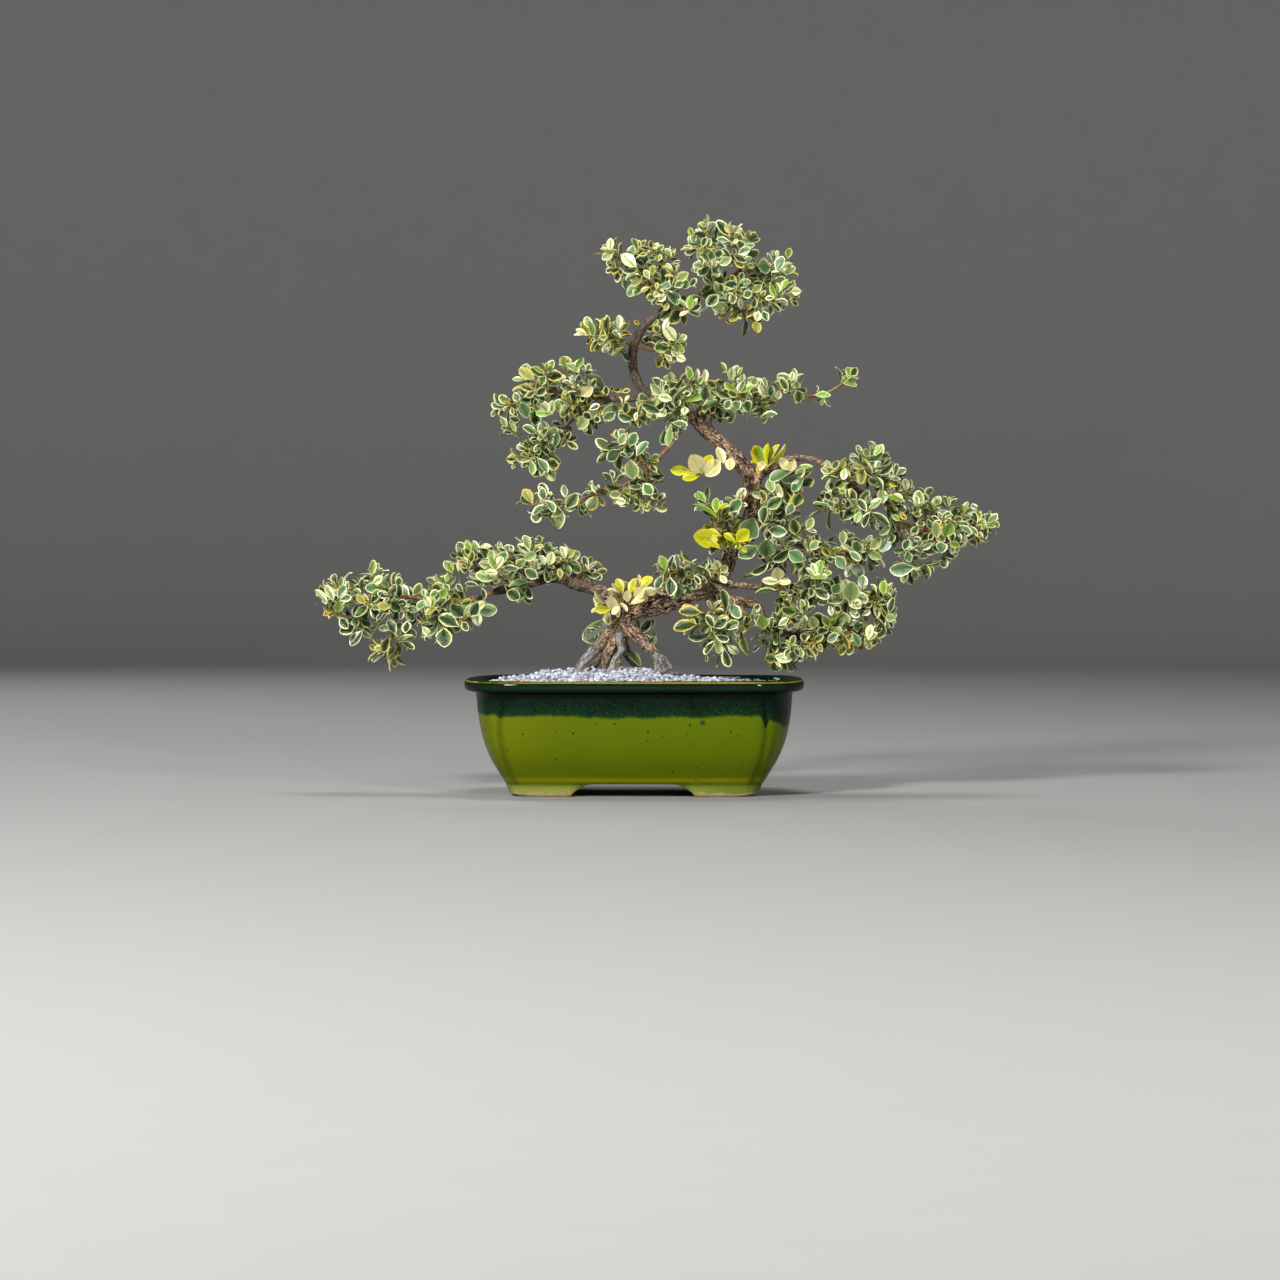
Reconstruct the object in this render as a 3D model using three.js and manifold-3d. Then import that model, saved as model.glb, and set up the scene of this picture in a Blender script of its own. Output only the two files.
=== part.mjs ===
// A natal plum bonsai with variegated leaves, slanting over a glazed pot with four feet.
// Millimetres, +Z up. The pot stands on z = 0 and its length runs along X; -Y is the front.
import * as THREE from "three";
import { mergeVertices } from "three/addons/utils/BufferGeometryUtils.js";
import Module from "manifold-3d";

// Driving dimensions of the pot
const potLength = 300;
const potDepth = 200;
const potHeight = 102;
const rimOverhang = 10;
const wallThickness = 6;
const footHeight = 11.2;
const footRingWidth = 11;
const floorHeight = 20;
// Each height of the body's outside, with how far its outline is drawn in from its widest.
const footInset = { top: 28, bottom: 29.5 };
const bodyProfile = [[footHeight, 25.5], [20, 20], [33, 12], [50, 5.5], [70, 1.5], [91, 0]];
// The rolled rim, drawn in from the rim's widest, and the inside, drawn in from the inner wall.
const rimProfile = [[92, 1.5], [94.5, 0], [99, 0], [101.4, 1.6], [potHeight, 5], [101, 11]];
const insideProfile = [[98, -2], [88, 0], [55, 4], [28, 18], [floorHeight, 36]];
const drainHoleRadius = 10;
const drainHoleOffset = 52;
const archShoulders = [[1, 0], [0.95, 3.5], [0.88, 6.1], [0.76, 9.6], [0.69, 11]];
const frontArchHalfWidth = 54.5;
const sideArchHalfWidth = 27.5;
const sideLobeDepth = { top: 29, bottom: 10 };
const frontLobeDepth = { top: 13, bottom: 8 };
const lobeSquareness = 2.6;
const sideLobeSteps = 3;
const frontLobeSteps = 6;
const outlineSteps = 4 * (sideLobeSteps + frontLobeSteps);

// Driving dimensions of what fills the pot
const soilEdgeHeight = 91;
const soilMoundHeight = 97;
const gravelEdgeHeight = 99;
const gravelMoundRise = 13;
const grainPitch = 11.4;
const grainRelief = 2.2;
const meshPlateSide = 34;
const meshPlateThickness = 1;
const meshSlots = 2;
const meshBarWidth = 4;
const clearance = 0.35;

// Driving dimensions of the foliage
const leafThickness = 0.7;
const leafLength = { least: 17, most: 23 };
const leafWidthShare = 0.66;
const leafSpread = THREE.MathUtils.degToRad(58);
const leafFold = 0.16;
const leafDroop = 0.12;
const twigRadius = { base: 0.95, tip: 0.7 };
const stemRadius = { base: 1.9, tip: 1.1 };
const leafClearance = 0.4;
const leafOutline = [[0.5, -0.5], [0.93, -0.24], [0.93, 0.24], [0.5, 0.5]];
const turnsToTry = [0, 25, -25, 50, -50, 75, -75, 90];

const variegatedLeaf = { color: 0x8fa676, roughness: 0.42, metalness: 0 };
const creamLeaf = { color: 0xe6dc9c, roughness: 0.42, metalness: 0 };
const yellowLeaf = { color: 0xcfd53a, roughness: 0.42, metalness: 0 };
const bark = { color: 0x75604c, roughness: 0.85, metalness: 0 };
const glaze = { color: 0x6f8410, roughness: 0.12, metalness: 0 };
const potSoil = { color: 0x3b2c20, roughness: 0.95, metalness: 0 };
const whiteGravel = { color: 0xd3d6e4, roughness: 0.8, metalness: 0 };
const meshPlastic = { color: 0x2a2d2b, roughness: 0.6, metalness: 0 };

// Each limb is a line of points and the radius at its two ends. The first one is the trunk.
const limbs = [
  {
    name: "trunk",
    sides: 8,
    radii: [9.5, 10, 9.2, 8.6, 9.6, 10.4, 10.4, 9.2, 8.2, 7.6, 7, 6.6, 6.4, 6.2, 6.2, 6.2, 6.2, 6, 5.8,
      5.6, 5.2, 4.8, 4.5, 4.1, 3.9, 3.8, 3.7, 3.5, 3.3, 3],
    points: [
      [-15, 0, 88], [-15, 0, 111], [-16, 0, 127], [-16, 0, 143], [-12, -2, 158], [5, -6, 165],
      [23, -9, 169], [41, -10, 174], [54, -9, 178], [69, -6, 183], [79, 0, 195], [85, 6, 211],
      [93, 8, 229], [102, 6, 245], [105, 2, 264], [104, -2, 281], [99, -5, 290], [89, -8, 301],
      [78, -9, 312], [65, -8, 321], [50, -5, 335], [31, -1, 345], [12, 3, 353], [2, 5, 365],
      [-2, 4, 381], [0, 1, 397], [8, -3, 412], [24, -5, 425], [40, -4, 434], [55, 0, 439],
    ],
  },
  {
    name: "left_branch",
    sides: 7,
    radii: [6, 3.5],
    points: [
      [-8, -3, 163], [-25, -2, 176], [-41, 0, 182], [-53, 3, 185], [-65, 6, 190], [-78, 8, 190],
      [-91, 8, 186], [-108, 5, 182], [-124, 2, 178],
    ],
  },
  {
    name: "pale_branch",
    sides: 5,
    radii: [2.8, 2.3],
    points: [
      [30, -8, 170], [44, -17, 179], [55, -18, 182], [65, -18, 185], [79, -16, 183],
      [93, -12, 184], [108, -6, 182], [118, -3, 180],
    ],
  },
  {
    name: "low_branch",
    sides: 6,
    radii: [5.2, 3],
    points: [
      [65, -7, 181], [77, -9, 172], [98, -8, 169], [108, -6, 166], [112, -4, 157],
      [116, -2, 145], [126, 0, 142], [136, 0, 141],
    ],
  },
  {
    name: "mid_branch",
    sides: 5,
    radii: [3, 2.2],
    points: [[99, 6, 244], [113, 8, 235], [127, 12, 229], [139, 14, 222], [154, 15, 216]],
  },
  {
    name: "right_fork",
    sides: 6,
    radii: [4, 2.2],
    points: [
      [104, -1, 274], [114, -3, 285], [127, -4, 290], [138, -3, 296], [152, 0, 296],
      [165, 2, 292], [178, 4, 283], [188, 3, 276], [198, 3, 268], [208, 3, 263], [217, 2, 260],
    ],
  },
  {
    name: "droop_branch",
    sides: 5,
    radii: [2.4, 2],
    points: [[52, -5, 334], [41, -13, 321], [31, -18, 306]],
  },
  {
    name: "mid_left_branch",
    sides: 5,
    radii: [3.2, 2.5],
    points: [[12, 3, 353], [-4, 9, 349], [-19, 16, 349], [-33, 22, 350]],
  },
  {
    name: "root_left",
    sides: 6,
    radii: [5.2, 3],
    points: [
      [-17, -2, 154], [-25, -8, 138], [-36, -12, 125], [-45, -15, 115], [-52, -18, 105],
      [-55, -19, 99],
    ],
  },
  {
    name: "root_centre",
    sides: 5,
    radii: [4, 3.2],
    points: [[-15, -4, 143], [-12, -12, 129], [-16, -16, 119], [-18, -19, 108], [-19, -21, 99]],
  },
  {
    name: "root_right",
    sides: 6,
    radii: [4.6, 3.6],
    points: [[-12, -3, 153], [1, -8, 138], [12, -10, 129], [22, -12, 120], [27, -13, 108], [29, -14, 99]],
  },
  {
    name: "root_back_left",
    sides: 5,
    radii: [5, 2.8],
    points: [[-17, 3, 138], [-28, 15, 123], [-39, 25, 110], [-45, 30, 99]],
  },
  {
    name: "root_back_right",
    sides: 5,
    radii: [5, 2.8],
    points: [[-13, 3, 138], [-4, 14, 123], [7, 24, 110], [12, 29, 99]],
  },
  {
    name: "root_small",
    sides: 4,
    radii: [3, 2.2],
    points: [[-15, -4, 131], [-23, -10, 118], [-28, -13, 108], [-30, -14, 99]],
  },
];

// Each leafy spray leaves the wood at its fork and carries a pair of leaves at each tip.
const sprays = [
  {
    name: "spray_crown_right",
    leaf: variegatedLeaf,
    fork: [55, 0, 439],
    stems: [
      [[61, 1, 445], [77, 3, 453], [95, 6, 461], [115, 9, 462]],
      [[68, 1, 449], [68, 0, 468], [65, 3, 488]],
    ],
    tips: [
      [61, 3, 502], [97, 23, 493], [67, -38, 473], [127, -14, 470], [77, -35, 444], [143, 12, 441],
      [79, 3, 429], [106, -12, 419], [95, -20, 472], [125, -32, 445], [102, 49, 466],
      [125, 35, 434],
    ],
  },
  {
    name: "spray_crown_left",
    leaf: variegatedLeaf,
    fork: [30, -5, 428],
    stems: [
      [[27, -6, 435], [18, -7, 450], [5, -3, 463], [-9, 0, 471]],
    ],
    tips: [
      [-25, 6, 484], [5, -6, 487], [2, -20, 450], [32, -32, 451], [48, -29, 431], [32, 9, 479],
      [8, 44, 473], [29, 23, 440],
    ],
  },
  {
    name: "spray_leader_left",
    leaf: variegatedLeaf,
    fork: [-1, 2, 392],
    stems: [
      [[-7, 1, 399], [-20, 0, 406], [-32, 0, 409]],
    ],
    tips: [
      [-45, 0, 412], [-13, 12, 416], [-15, -12, 393],
    ],
  },
  {
    name: "spray_leader_right",
    leaf: variegatedLeaf,
    fork: [0, 1, 397],
    stems: [
      [[8, 0, 394], [19, 0, 392], [30, 1, 396]],
    ],
    tips: [
      [36, -14, 402],
    ],
  },
  {
    name: "spray_mid_left_upper",
    leaf: variegatedLeaf,
    fork: [-33, 22, 350],
    stems: [
      [[-40, 26, 351], [-60, 38, 355], [-80, 29, 356], [-101, 23, 349]],
    ],
    tips: [
      [-99, 14, 374], [-58, 20, 382], [-41, 6, 363], [-124, 20, 342], [-62, -3, 349],
      [-78, -6, 377], [-44, 44, 378], [-72, 61, 366], [-107, 46, 348], [-53, 64, 344],
    ],
  },
  {
    name: "spray_mid_left_lower",
    leaf: variegatedLeaf,
    fork: [-31, 20, 348],
    stems: [
      [[-40, 20, 342], [-55, 26, 331], [-72, 22, 317], [-86, 17, 304]],
    ],
    tips: [
      [-76, -6, 320], [-99, 12, 307], [-80, -6, 289], [-48, 6, 330], [-85, 41, 307],
      [-37, 44, 337],
    ],
  },
  {
    name: "spray_centre_pad_left",
    leaf: variegatedLeaf,
    fork: [31, -1, 345],
    stems: [
      [[33, -12, 349], [30, -29, 351], [18, -29, 349], [5, -26, 342]],
      [[30, -29, 351], [40, -23, 360], [49, -12, 364]],
    ],
    tips: [
      [-7, -20, 339], [15, -44, 342], [20, -12, 356], [43, -44, 354], [51, 6, 369], [35, -29, 318],
      [27, 23, 364],
    ],
  },
  {
    name: "spray_centre_pad_right",
    leaf: variegatedLeaf,
    fork: [52, -6, 333],
    stems: [
      [[58, -10, 341], [69, -20, 347], [88, -20, 351], [109, -14, 352], [123, -10, 357]],
      [[109, -14, 352], [134, -10, 355], [157, -7, 351], [171, -6, 354], [184, -6, 362]],
    ],
    tips: [
      [87, -12, 371], [105, -29, 359], [108, -9, 338], [142, 3, 368], [190, -6, 372],
      [61, -44, 350], [78, -12, 336], [95, 17, 364], [167, -9, 349],
    ],
  },
  {
    name: "spray_droop",
    leaf: variegatedLeaf,
    fork: [31, -18, 306],
    stems: [
      [
        [21, -20, 295], [12, -29, 284], [0, -26, 276], [-16, -22, 271], [-34, -17, 266],
        [-51, -12, 259], [-73, -7, 255], [-91, -4, 255],
      ],
      [[12, -29, 284], [4, -32, 298], [-9, -29, 308]],
    ],
    tips: [
      [-17, -26, 316], [-12, -35, 262], [24, -26, 256], [-96, -3, 265], [-51, -23, 256],
      [-67, -9, 243], [16, -44, 297], [-18, -12, 282],
    ],
  },
  {
    name: "spray_cream_centre",
    leaf: creamLeaf,
    fork: [87, -8, 303],
    stems: [
      [[82, -14, 298], [70, -28, 292], [55, -30, 288]],
    ],
    tips: [
      [42, -29, 286], [77, -33, 299],
    ],
  },
  {
    name: "spray_yellow_fork",
    leaf: yellowLeaf,
    fork: [107, -3, 282],
    stems: [
      [[109, -10, 289], [113, -19, 295]],
    ],
    tips: [
      [116, -20, 301],
    ],
  },
  {
    name: "spray_fork_front",
    leaf: variegatedLeaf,
    fork: [127, -4, 290],
    stems: [
      [[129, -10, 284], [132, -20, 277]],
    ],
    tips: [
      [141, -26, 286], [121, -26, 271],
    ],
  },
  {
    name: "spray_right_upper",
    leaf: variegatedLeaf,
    fork: [188, 3, 276],
    stems: [
      [[191, 0, 283], [198, -3, 290], [210, -3, 294], [221, 0, 288]],
    ],
    tips: [
      [175, -20, 286], [201, -6, 303], [204, -29, 293], [234, -12, 274], [191, 20, 281],
      [218, 38, 287],
    ],
  },
  {
    name: "spray_right_lower",
    leaf: variegatedLeaf,
    fork: [198, 3, 268],
    stems: [
      [[195, 0, 262], [189, -4, 256], [180, -6, 257]],
    ],
    tips: [
      [161, -6, 254], [200, -26, 255], [180, 14, 267],
    ],
  },
  {
    name: "spray_right_end",
    leaf: variegatedLeaf,
    fork: [217, 2, 260],
    stems: [
      [
        [222, 0, 251], [231, -3, 238], [245, -6, 233], [265, -7, 236], [284, -6, 239],
        [302, -3, 241],
      ],
      [[231, -3, 238], [237, 0, 222], [246, 1, 208]],
    ],
    tips: [
      [243, -9, 269], [265, -14, 258], [318, -3, 242], [224, -20, 230], [279, -26, 235],
      [266, 0, 203], [235, -17, 199], [279, 14, 261], [240, 23, 245], [295, 26, 232],
    ],
  },
  {
    name: "spray_yellow_trunk",
    leaf: yellowLeaf,
    fork: [92, 8, 229],
    stems: [
      [[88, -4, 230], [79, -20, 235], [70, -26, 238]],
    ],
    tips: [
      [72, -32, 252], [63, -35, 227], [96, -29, 229],
    ],
  },
  {
    name: "spray_trunk_left",
    leaf: variegatedLeaf,
    fork: [104, 3, 260],
    stems: [
      [[96, -4, 258], [86, -12, 252], [77, -9, 245]],
    ],
    tips: [
      [59, -17, 263], [91, -20, 261], [82, 12, 242], [74, -12, 216],
    ],
  },
  {
    name: "spray_mid_upper",
    leaf: variegatedLeaf,
    fork: [127, 12, 229],
    stems: [
      [[131, 10, 237], [132, 12, 245]],
    ],
    tips: [
      [115, 9, 258], [116, -14, 245], [143, 23, 239],
    ],
  },
  {
    name: "spray_mid_end",
    leaf: variegatedLeaf,
    fork: [154, 15, 216],
    stems: [
      [[163, 14, 213], [180, 19, 212], [202, 16, 214]],
    ],
    tips: [
      [184, 12, 228], [214, 20, 221], [193, -6, 207], [170, 38, 221], [159, 9, 204],
    ],
  },
  {
    name: "spray_mid_lower",
    leaf: variegatedLeaf,
    fork: [139, 14, 222],
    stems: [
      [[137, 6, 218], [131, 1, 214]],
    ],
    tips: [
      [116, -9, 216], [144, -9, 209],
    ],
  },
  {
    name: "spray_low_right_upper",
    leaf: variegatedLeaf,
    fork: [118, -3, 180],
    stems: [
      [[127, -3, 180], [145, -6, 183], [164, -4, 183], [185, 0, 178], [207, 3, 176]],
    ],
    tips: [
      [162, -12, 200], [190, -26, 178], [220, -9, 184], [167, 20, 192], [144, -23, 178],
      [186, 3, 167], [228, -6, 154],
    ],
  },
  {
    name: "spray_yellow_low",
    leaf: yellowLeaf,
    fork: [111, -5, 182],
    stems: [
      [[114, -9, 186], [120, -17, 190]],
    ],
    tips: [
      [125, -20, 192],
    ],
  },
  {
    name: "spray_low_right_lower",
    leaf: variegatedLeaf,
    fork: [136, 0, 141],
    stems: [
      [[146, 0, 141], [166, 0, 144], [186, 0, 145], [201, 0, 150]],
      [[146, 0, 141], [143, -1, 131], [132, -3, 123]],
    ],
    tips: [
      [125, -20, 157], [173, -20, 153], [200, 14, 150], [149, -17, 131], [134, 14, 152],
      [162, 12, 152], [210, -12, 145], [145, 12, 121],
    ],
  },
  {
    name: "spray_trunk_end",
    leaf: variegatedLeaf,
    fork: [98, -8, 169],
    stems: [
      [[95, -12, 165], [99, -20, 158]],
    ],
    tips: [
      [93, -23, 162],
    ],
  },
  {
    name: "spray_over_trunk",
    leaf: variegatedLeaf,
    fork: [63, -18, 185],
    stems: [
      [[59, -20, 190], [51, -30, 195], [39, -32, 197]],
    ],
    tips: [
      [23, -29, 204], [35, -46, 182], [63, -35, 200],
    ],
  },
  {
    name: "spray_front_rosette",
    leaf: variegatedLeaf,
    fork: [61, -10, 177],
    stems: [
      [[65, -20, 169], [68, -38, 158], [70, -39, 145]],
    ],
    tips: [
      [49, -49, 160], [87, -49, 149], [85, -38, 122],
    ],
  },
  {
    name: "spray_left_end",
    leaf: variegatedLeaf,
    fork: [-124, 2, 178],
    stems: [
      [
        [-133, 0, 175], [-150, -6, 171], [-167, -9, 169], [-185, -9, 171], [-203, -6, 174],
        [-221, 0, 175], [-239, 4, 175], [-257, 6, 174],
      ],
      [[-167, -9, 169], [-173, -12, 157]],
      [[-203, -6, 174], [-210, -9, 157], [-215, -9, 136]],
      [[-239, 4, 175], [-247, 4, 160]],
    ],
    tips: [
      [-281, 6, 176], [-258, 9, 152], [-232, 0, 200], [-235, -26, 172], [-200, -26, 165],
      [-215, -9, 116], [-174, 6, 191], [-155, -32, 166], [-170, -12, 137], [-197, 14, 177],
      [-202, 12, 146],
    ],
  },
  {
    name: "spray_left_inner",
    leaf: variegatedLeaf,
    fork: [-91, 8, 186],
    stems: [
      [[-95, 8, 193], [-106, 10, 199], [-121, 7, 203], [-137, 4, 205], [-151, 1, 205]],
      [[-106, 10, 199], [-83, 14, 206], [-67, 17, 209]],
    ],
    tips: [
      [-162, 0, 202], [-140, 12, 219], [-123, -26, 204], [-102, -14, 183], [-99, 9, 225],
      [-75, 12, 217], [-104, 44, 206], [-76, 46, 206],
    ],
  },
  {
    name: "spray_cream_fork",
    leaf: creamLeaf,
    fork: [-11, -3, 168],
    stems: [
      [[-12, -14, 171], [-7, -28, 177], [4, -28, 180]],
    ],
    tips: [
      [-28, -29, 164], [-4, -44, 174], [11, -20, 184],
    ],
  },
  {
    name: "spray_base_left",
    leaf: variegatedLeaf,
    fork: [-18, 2, 141],
    stems: [
      [[-26, 12, 142], [-30, 23, 143]],
    ],
    tips: [
      [-34, 32, 142],
    ],
  },
  {
    name: "spray_base_right",
    leaf: variegatedLeaf,
    fork: [-9, 3, 141],
    stems: [
      [[-1, 13, 142], [5, 25, 143]],
    ],
    tips: [
      [10, 29, 147],
    ],
  },
  {
    name: "spray_back_cluster",
    leaf: variegatedLeaf,
    fork: [-56, 4, 186],
    stems: [
      [[-52, 14, 190], [-48, 35, 196], [-45, 46, 200]],
    ],
    tips: [
      [-43, 58, 204],
    ],
  },
];

const wasm = await Module();
wasm.setup();

const up = new THREE.Vector3(0, 0, 1);

function vector(point) {
  return new THREE.Vector3(...point);
}

// A number from 0 to 1 that is always the same for the same count.
function drawn(count) {
  const turned = Math.sin(count * 12.9898 + 4.1414) * 43758.5453;
  return turned - Math.floor(turned);
}

function solidFrom(points, triangles) {
  return new wasm.Manifold(
    new wasm.Mesh({
      numProp: 3,
      vertProperties: new Float32Array(points.flatMap((point) => point.toArray())),
      triVerts: new Uint32Array(triangles.flat()),
    }),
  );
}

function solidFromGeometry(geometry) {
  geometry.deleteAttribute("normal");
  geometry.deleteAttribute("uv");
  const merged = mergeVertices(geometry, 1e-4);
  return new wasm.Manifold(
    new wasm.Mesh({
      numProp: 3,
      vertProperties: new Float32Array(merged.attributes.position.array),
      triVerts: new Uint32Array(merged.index.array),
    }),
  );
}

// A closed skin over rings of points. A ring of one point is a pole, and other ends are flat.
function skin(rings) {
  const points = rings.flat();
  const starts = [];
  let count = 0;
  for (const ring of rings) {
    starts.push(count);
    count += ring.length;
  }
  const triangles = [];
  for (let r = 0; r + 1 < rings.length; r++) {
    const [a, b] = [starts[r], starts[r + 1]];
    const around = Math.max(rings[r].length, rings[r + 1].length);
    for (let i = 0; i < around; i++) {
      const next = (i + 1) % around;
      if (rings[r].length === 1) triangles.push([a, b + next, b + i]);
      else if (rings[r + 1].length === 1) triangles.push([a + i, a + next, b]);
      else triangles.push([a + i, a + next, b + next], [a + i, b + next, b + i]);
    }
  }
  const last = starts[rings.length - 1];
  for (let i = 1; i + 1 < rings[0].length; i++) triangles.push([0, i + 1, i]);
  for (let i = 1; i + 1 < rings[rings.length - 1].length; i++) {
    triangles.push([last, last + i, last + i + 1]);
  }
  return solidFrom(points, triangles);
}

// A tapering round limb along a line of points. Its two end faces can be given their own way.
function limb(points, radii, sides, startWay, endWay) {
  const lastIndex = points.length - 1;
  const ways = points.map((point, i) =>
    points[Math.min(i + 1, lastIndex)].clone().sub(points[Math.max(i - 1, 0)]).normalize(),
  );
  if (startWay) ways[0] = startWay;
  if (endWay) ways[lastIndex] = endWay;
  const across = new THREE.Vector3(0, 1, 0).cross(ways[0]);
  if (across.length() < 0.3) across.set(1, 0, 0);
  const rings = points.map((point, i) => {
    across.addScaledVector(ways[i], -across.dot(ways[i])).normalize();
    const other = ways[i].clone().cross(across);
    return Array.from({ length: sides }, (_, k) => {
      const angle = (2 * Math.PI * k) / sides;
      return point
        .clone()
        .addScaledVector(across, radii[i] * Math.cos(angle))
        .addScaledVector(other, radii[i] * Math.sin(angle));
    });
  });
  return skin(rings);
}

function joined(solids) {
  return solids.reduce((whole, next) => whole.add(next));
}

// Radii for every point of a limb, from the radii at its ends or a full list of them.
function spreadRadii(radii, count) {
  if (radii.length === count) return radii;
  return Array.from({ length: count }, (_, i) =>
    THREE.MathUtils.lerp(radii[0], radii[1], i / (count - 1)),
  );
}

// One point of the pot's outline: a side lobe, a pinched corner, then a front or back lobe.
function outlinePoint(step, halfLength, halfDepth, sideLobe, frontLobe, height) {
  const quarterSteps = sideLobeSteps + frontLobeSteps;
  const quarter = Math.floor(step / quarterSteps) % 4;
  const within = step % quarterSteps;
  const along = quarter % 2 ? quarterSteps - within : within;
  const cornerX = halfLength - sideLobe;
  const cornerY = halfDepth - frontLobe;
  const power = 2 / lobeSquareness;
  let x;
  let y;
  if (along <= sideLobeSteps) {
    const angle = (along / sideLobeSteps) * (Math.PI / 2);
    y = cornerY * Math.sin(angle) ** power;
    x = cornerX + sideLobe * Math.max(Math.cos(angle), 0) ** power;
  } else {
    const angle = ((quarterSteps - along) / frontLobeSteps) * (Math.PI / 2);
    x = cornerX * Math.sin(angle) ** power;
    y = cornerY + frontLobe * Math.max(Math.cos(angle), 0) ** power;
  }
  const signX = quarter === 0 || quarter === 3 ? 1 : -1;
  const signY = quarter < 2 ? 1 : -1;
  return new THREE.Vector3(signX * x, signY * y, height);
}

const depthInset = (potLength - potDepth) / 2;

// The pot's outline at a height, drawn in or let out so that it is halfLength long each way.
function outline(height, halfLength) {
  const halfDepth = halfLength - depthInset;
  const rise = THREE.MathUtils.clamp(height / potHeight, 0, 1);
  const sideLobe = THREE.MathUtils.lerp(sideLobeDepth.bottom, sideLobeDepth.top, rise);
  const frontLobe = THREE.MathUtils.lerp(frontLobeDepth.bottom, frontLobeDepth.top, rise);
  return Array.from({ length: outlineSteps }, (_, step) =>
    outlinePoint(step, halfLength, halfDepth, sideLobe, frontLobe, height),
  );
}

function scaledOutline(height, halfLength, share) {
  return outline(height, halfLength).map((point) => point.set(point.x * share, point.y * share, point.z));
}

function archCutter(halfWidth, reach, turn) {
  const shape = new THREE.Shape();
  const points = archShoulders.map(([share, height]) => [share * halfWidth, height]);
  shape.moveTo(-points[0][0], -1);
  for (const [x, z] of points) shape.lineTo(-x, z);
  for (const [x, z] of points.toReversed()) shape.lineTo(x, z);
  shape.lineTo(points[0][0], -1);
  const geometry = new THREE.ExtrudeGeometry(shape, { depth: 2 * reach, bevelEnabled: false, steps: 1 });
  geometry.translate(0, 0, -reach);
  geometry.rotateX(Math.PI / 2);
  geometry.rotateZ(turn);
  return solidFromGeometry(geometry);
}

const halfLength = potLength / 2;
const bodyHalfLength = halfLength - rimOverhang;
const innerHalfLength = bodyHalfLength - wallThickness;

function buildPot() {
  const pole = (height) => [new THREE.Vector3(0, 0, height)];
  const foot = [
    [footHeight, bodyHalfLength - footInset.bottom - footRingWidth],
    [0, bodyHalfLength - footInset.bottom - footRingWidth],
    [0, bodyHalfLength - footInset.bottom],
    [footHeight - 1, bodyHalfLength - footInset.top],
  ];
  const profile = [
    ...foot,
    ...bodyProfile.map(([height, inset]) => [height, bodyHalfLength - inset]),
    ...rimProfile.map(([height, inset]) => [height, halfLength - inset]),
    ...insideProfile.map(([height, inset]) => [height, innerHalfLength - inset]),
  ];
  const rings = profile.map(([height, size]) => outline(height, size));
  let pot = skin([pole(footHeight), ...rings, pole(floorHeight)]);
  pot = pot.subtract(archCutter(frontArchHalfWidth, potDepth, 0));
  pot = pot.subtract(archCutter(sideArchHalfWidth, potLength, Math.PI / 2));
  for (const side of [-1, 1]) {
    const drain = new THREE.CylinderGeometry(drainHoleRadius, drainHoleRadius, 2 * floorHeight, 16);
    drain.rotateX(Math.PI / 2);
    drain.translate(side * drainHoleOffset, 0, floorHeight / 2);
    pot = pot.subtract(solidFromGeometry(drain));
  }
  return pot;
}

// Crossing bars, moulded as one plate, that keep the soil in over a drain hole.
function buildDrainMesh(side) {
  const pitch = (meshPlateSide - meshBarWidth) / meshSlots;
  const bars = [];
  for (let i = 0; i <= meshSlots; i++) {
    const offset = i * pitch - (meshPlateSide - meshBarWidth) / 2;
    const alongX = new THREE.BoxGeometry(meshPlateSide, meshBarWidth, meshPlateThickness);
    alongX.translate(0, offset, 0);
    const alongY = new THREE.BoxGeometry(meshBarWidth, meshPlateSide, meshPlateThickness);
    alongY.translate(offset, 0, 0);
    bars.push(alongX, alongY);
  }
  const height = floorHeight + clearance + meshPlateThickness / 2;
  return joined(
    bars.map((bar) => solidFromGeometry(bar.translate(side * drainHoleOffset, 0, height))),
  );
}

// The soil and the underside of the gravel share this low mound.
const moundShare = 0.45;

function buildSoil(rootHoles) {
  const bottom = floorHeight + meshPlateThickness + 2 * clearance;
  const rings = [
    [bottom, 36.4],
    [29, 19],
    [55, 5],
    [soilEdgeHeight - 2, 1],
    [soilEdgeHeight, 2],
  ].map(([height, inset]) => outline(height, innerHalfLength - inset));
  rings.push(scaledOutline(soilMoundHeight, innerHalfLength, moundShare));
  return skin(rings).subtract(rootHoles);
}

function moundHeight(x, y) {
  const share = Math.min(Math.hypot(x / innerHalfLength, y / (innerHalfLength - depthInset)), 1);
  return gravelEdgeHeight + gravelMoundRise * (1 - share * share);
}

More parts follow.
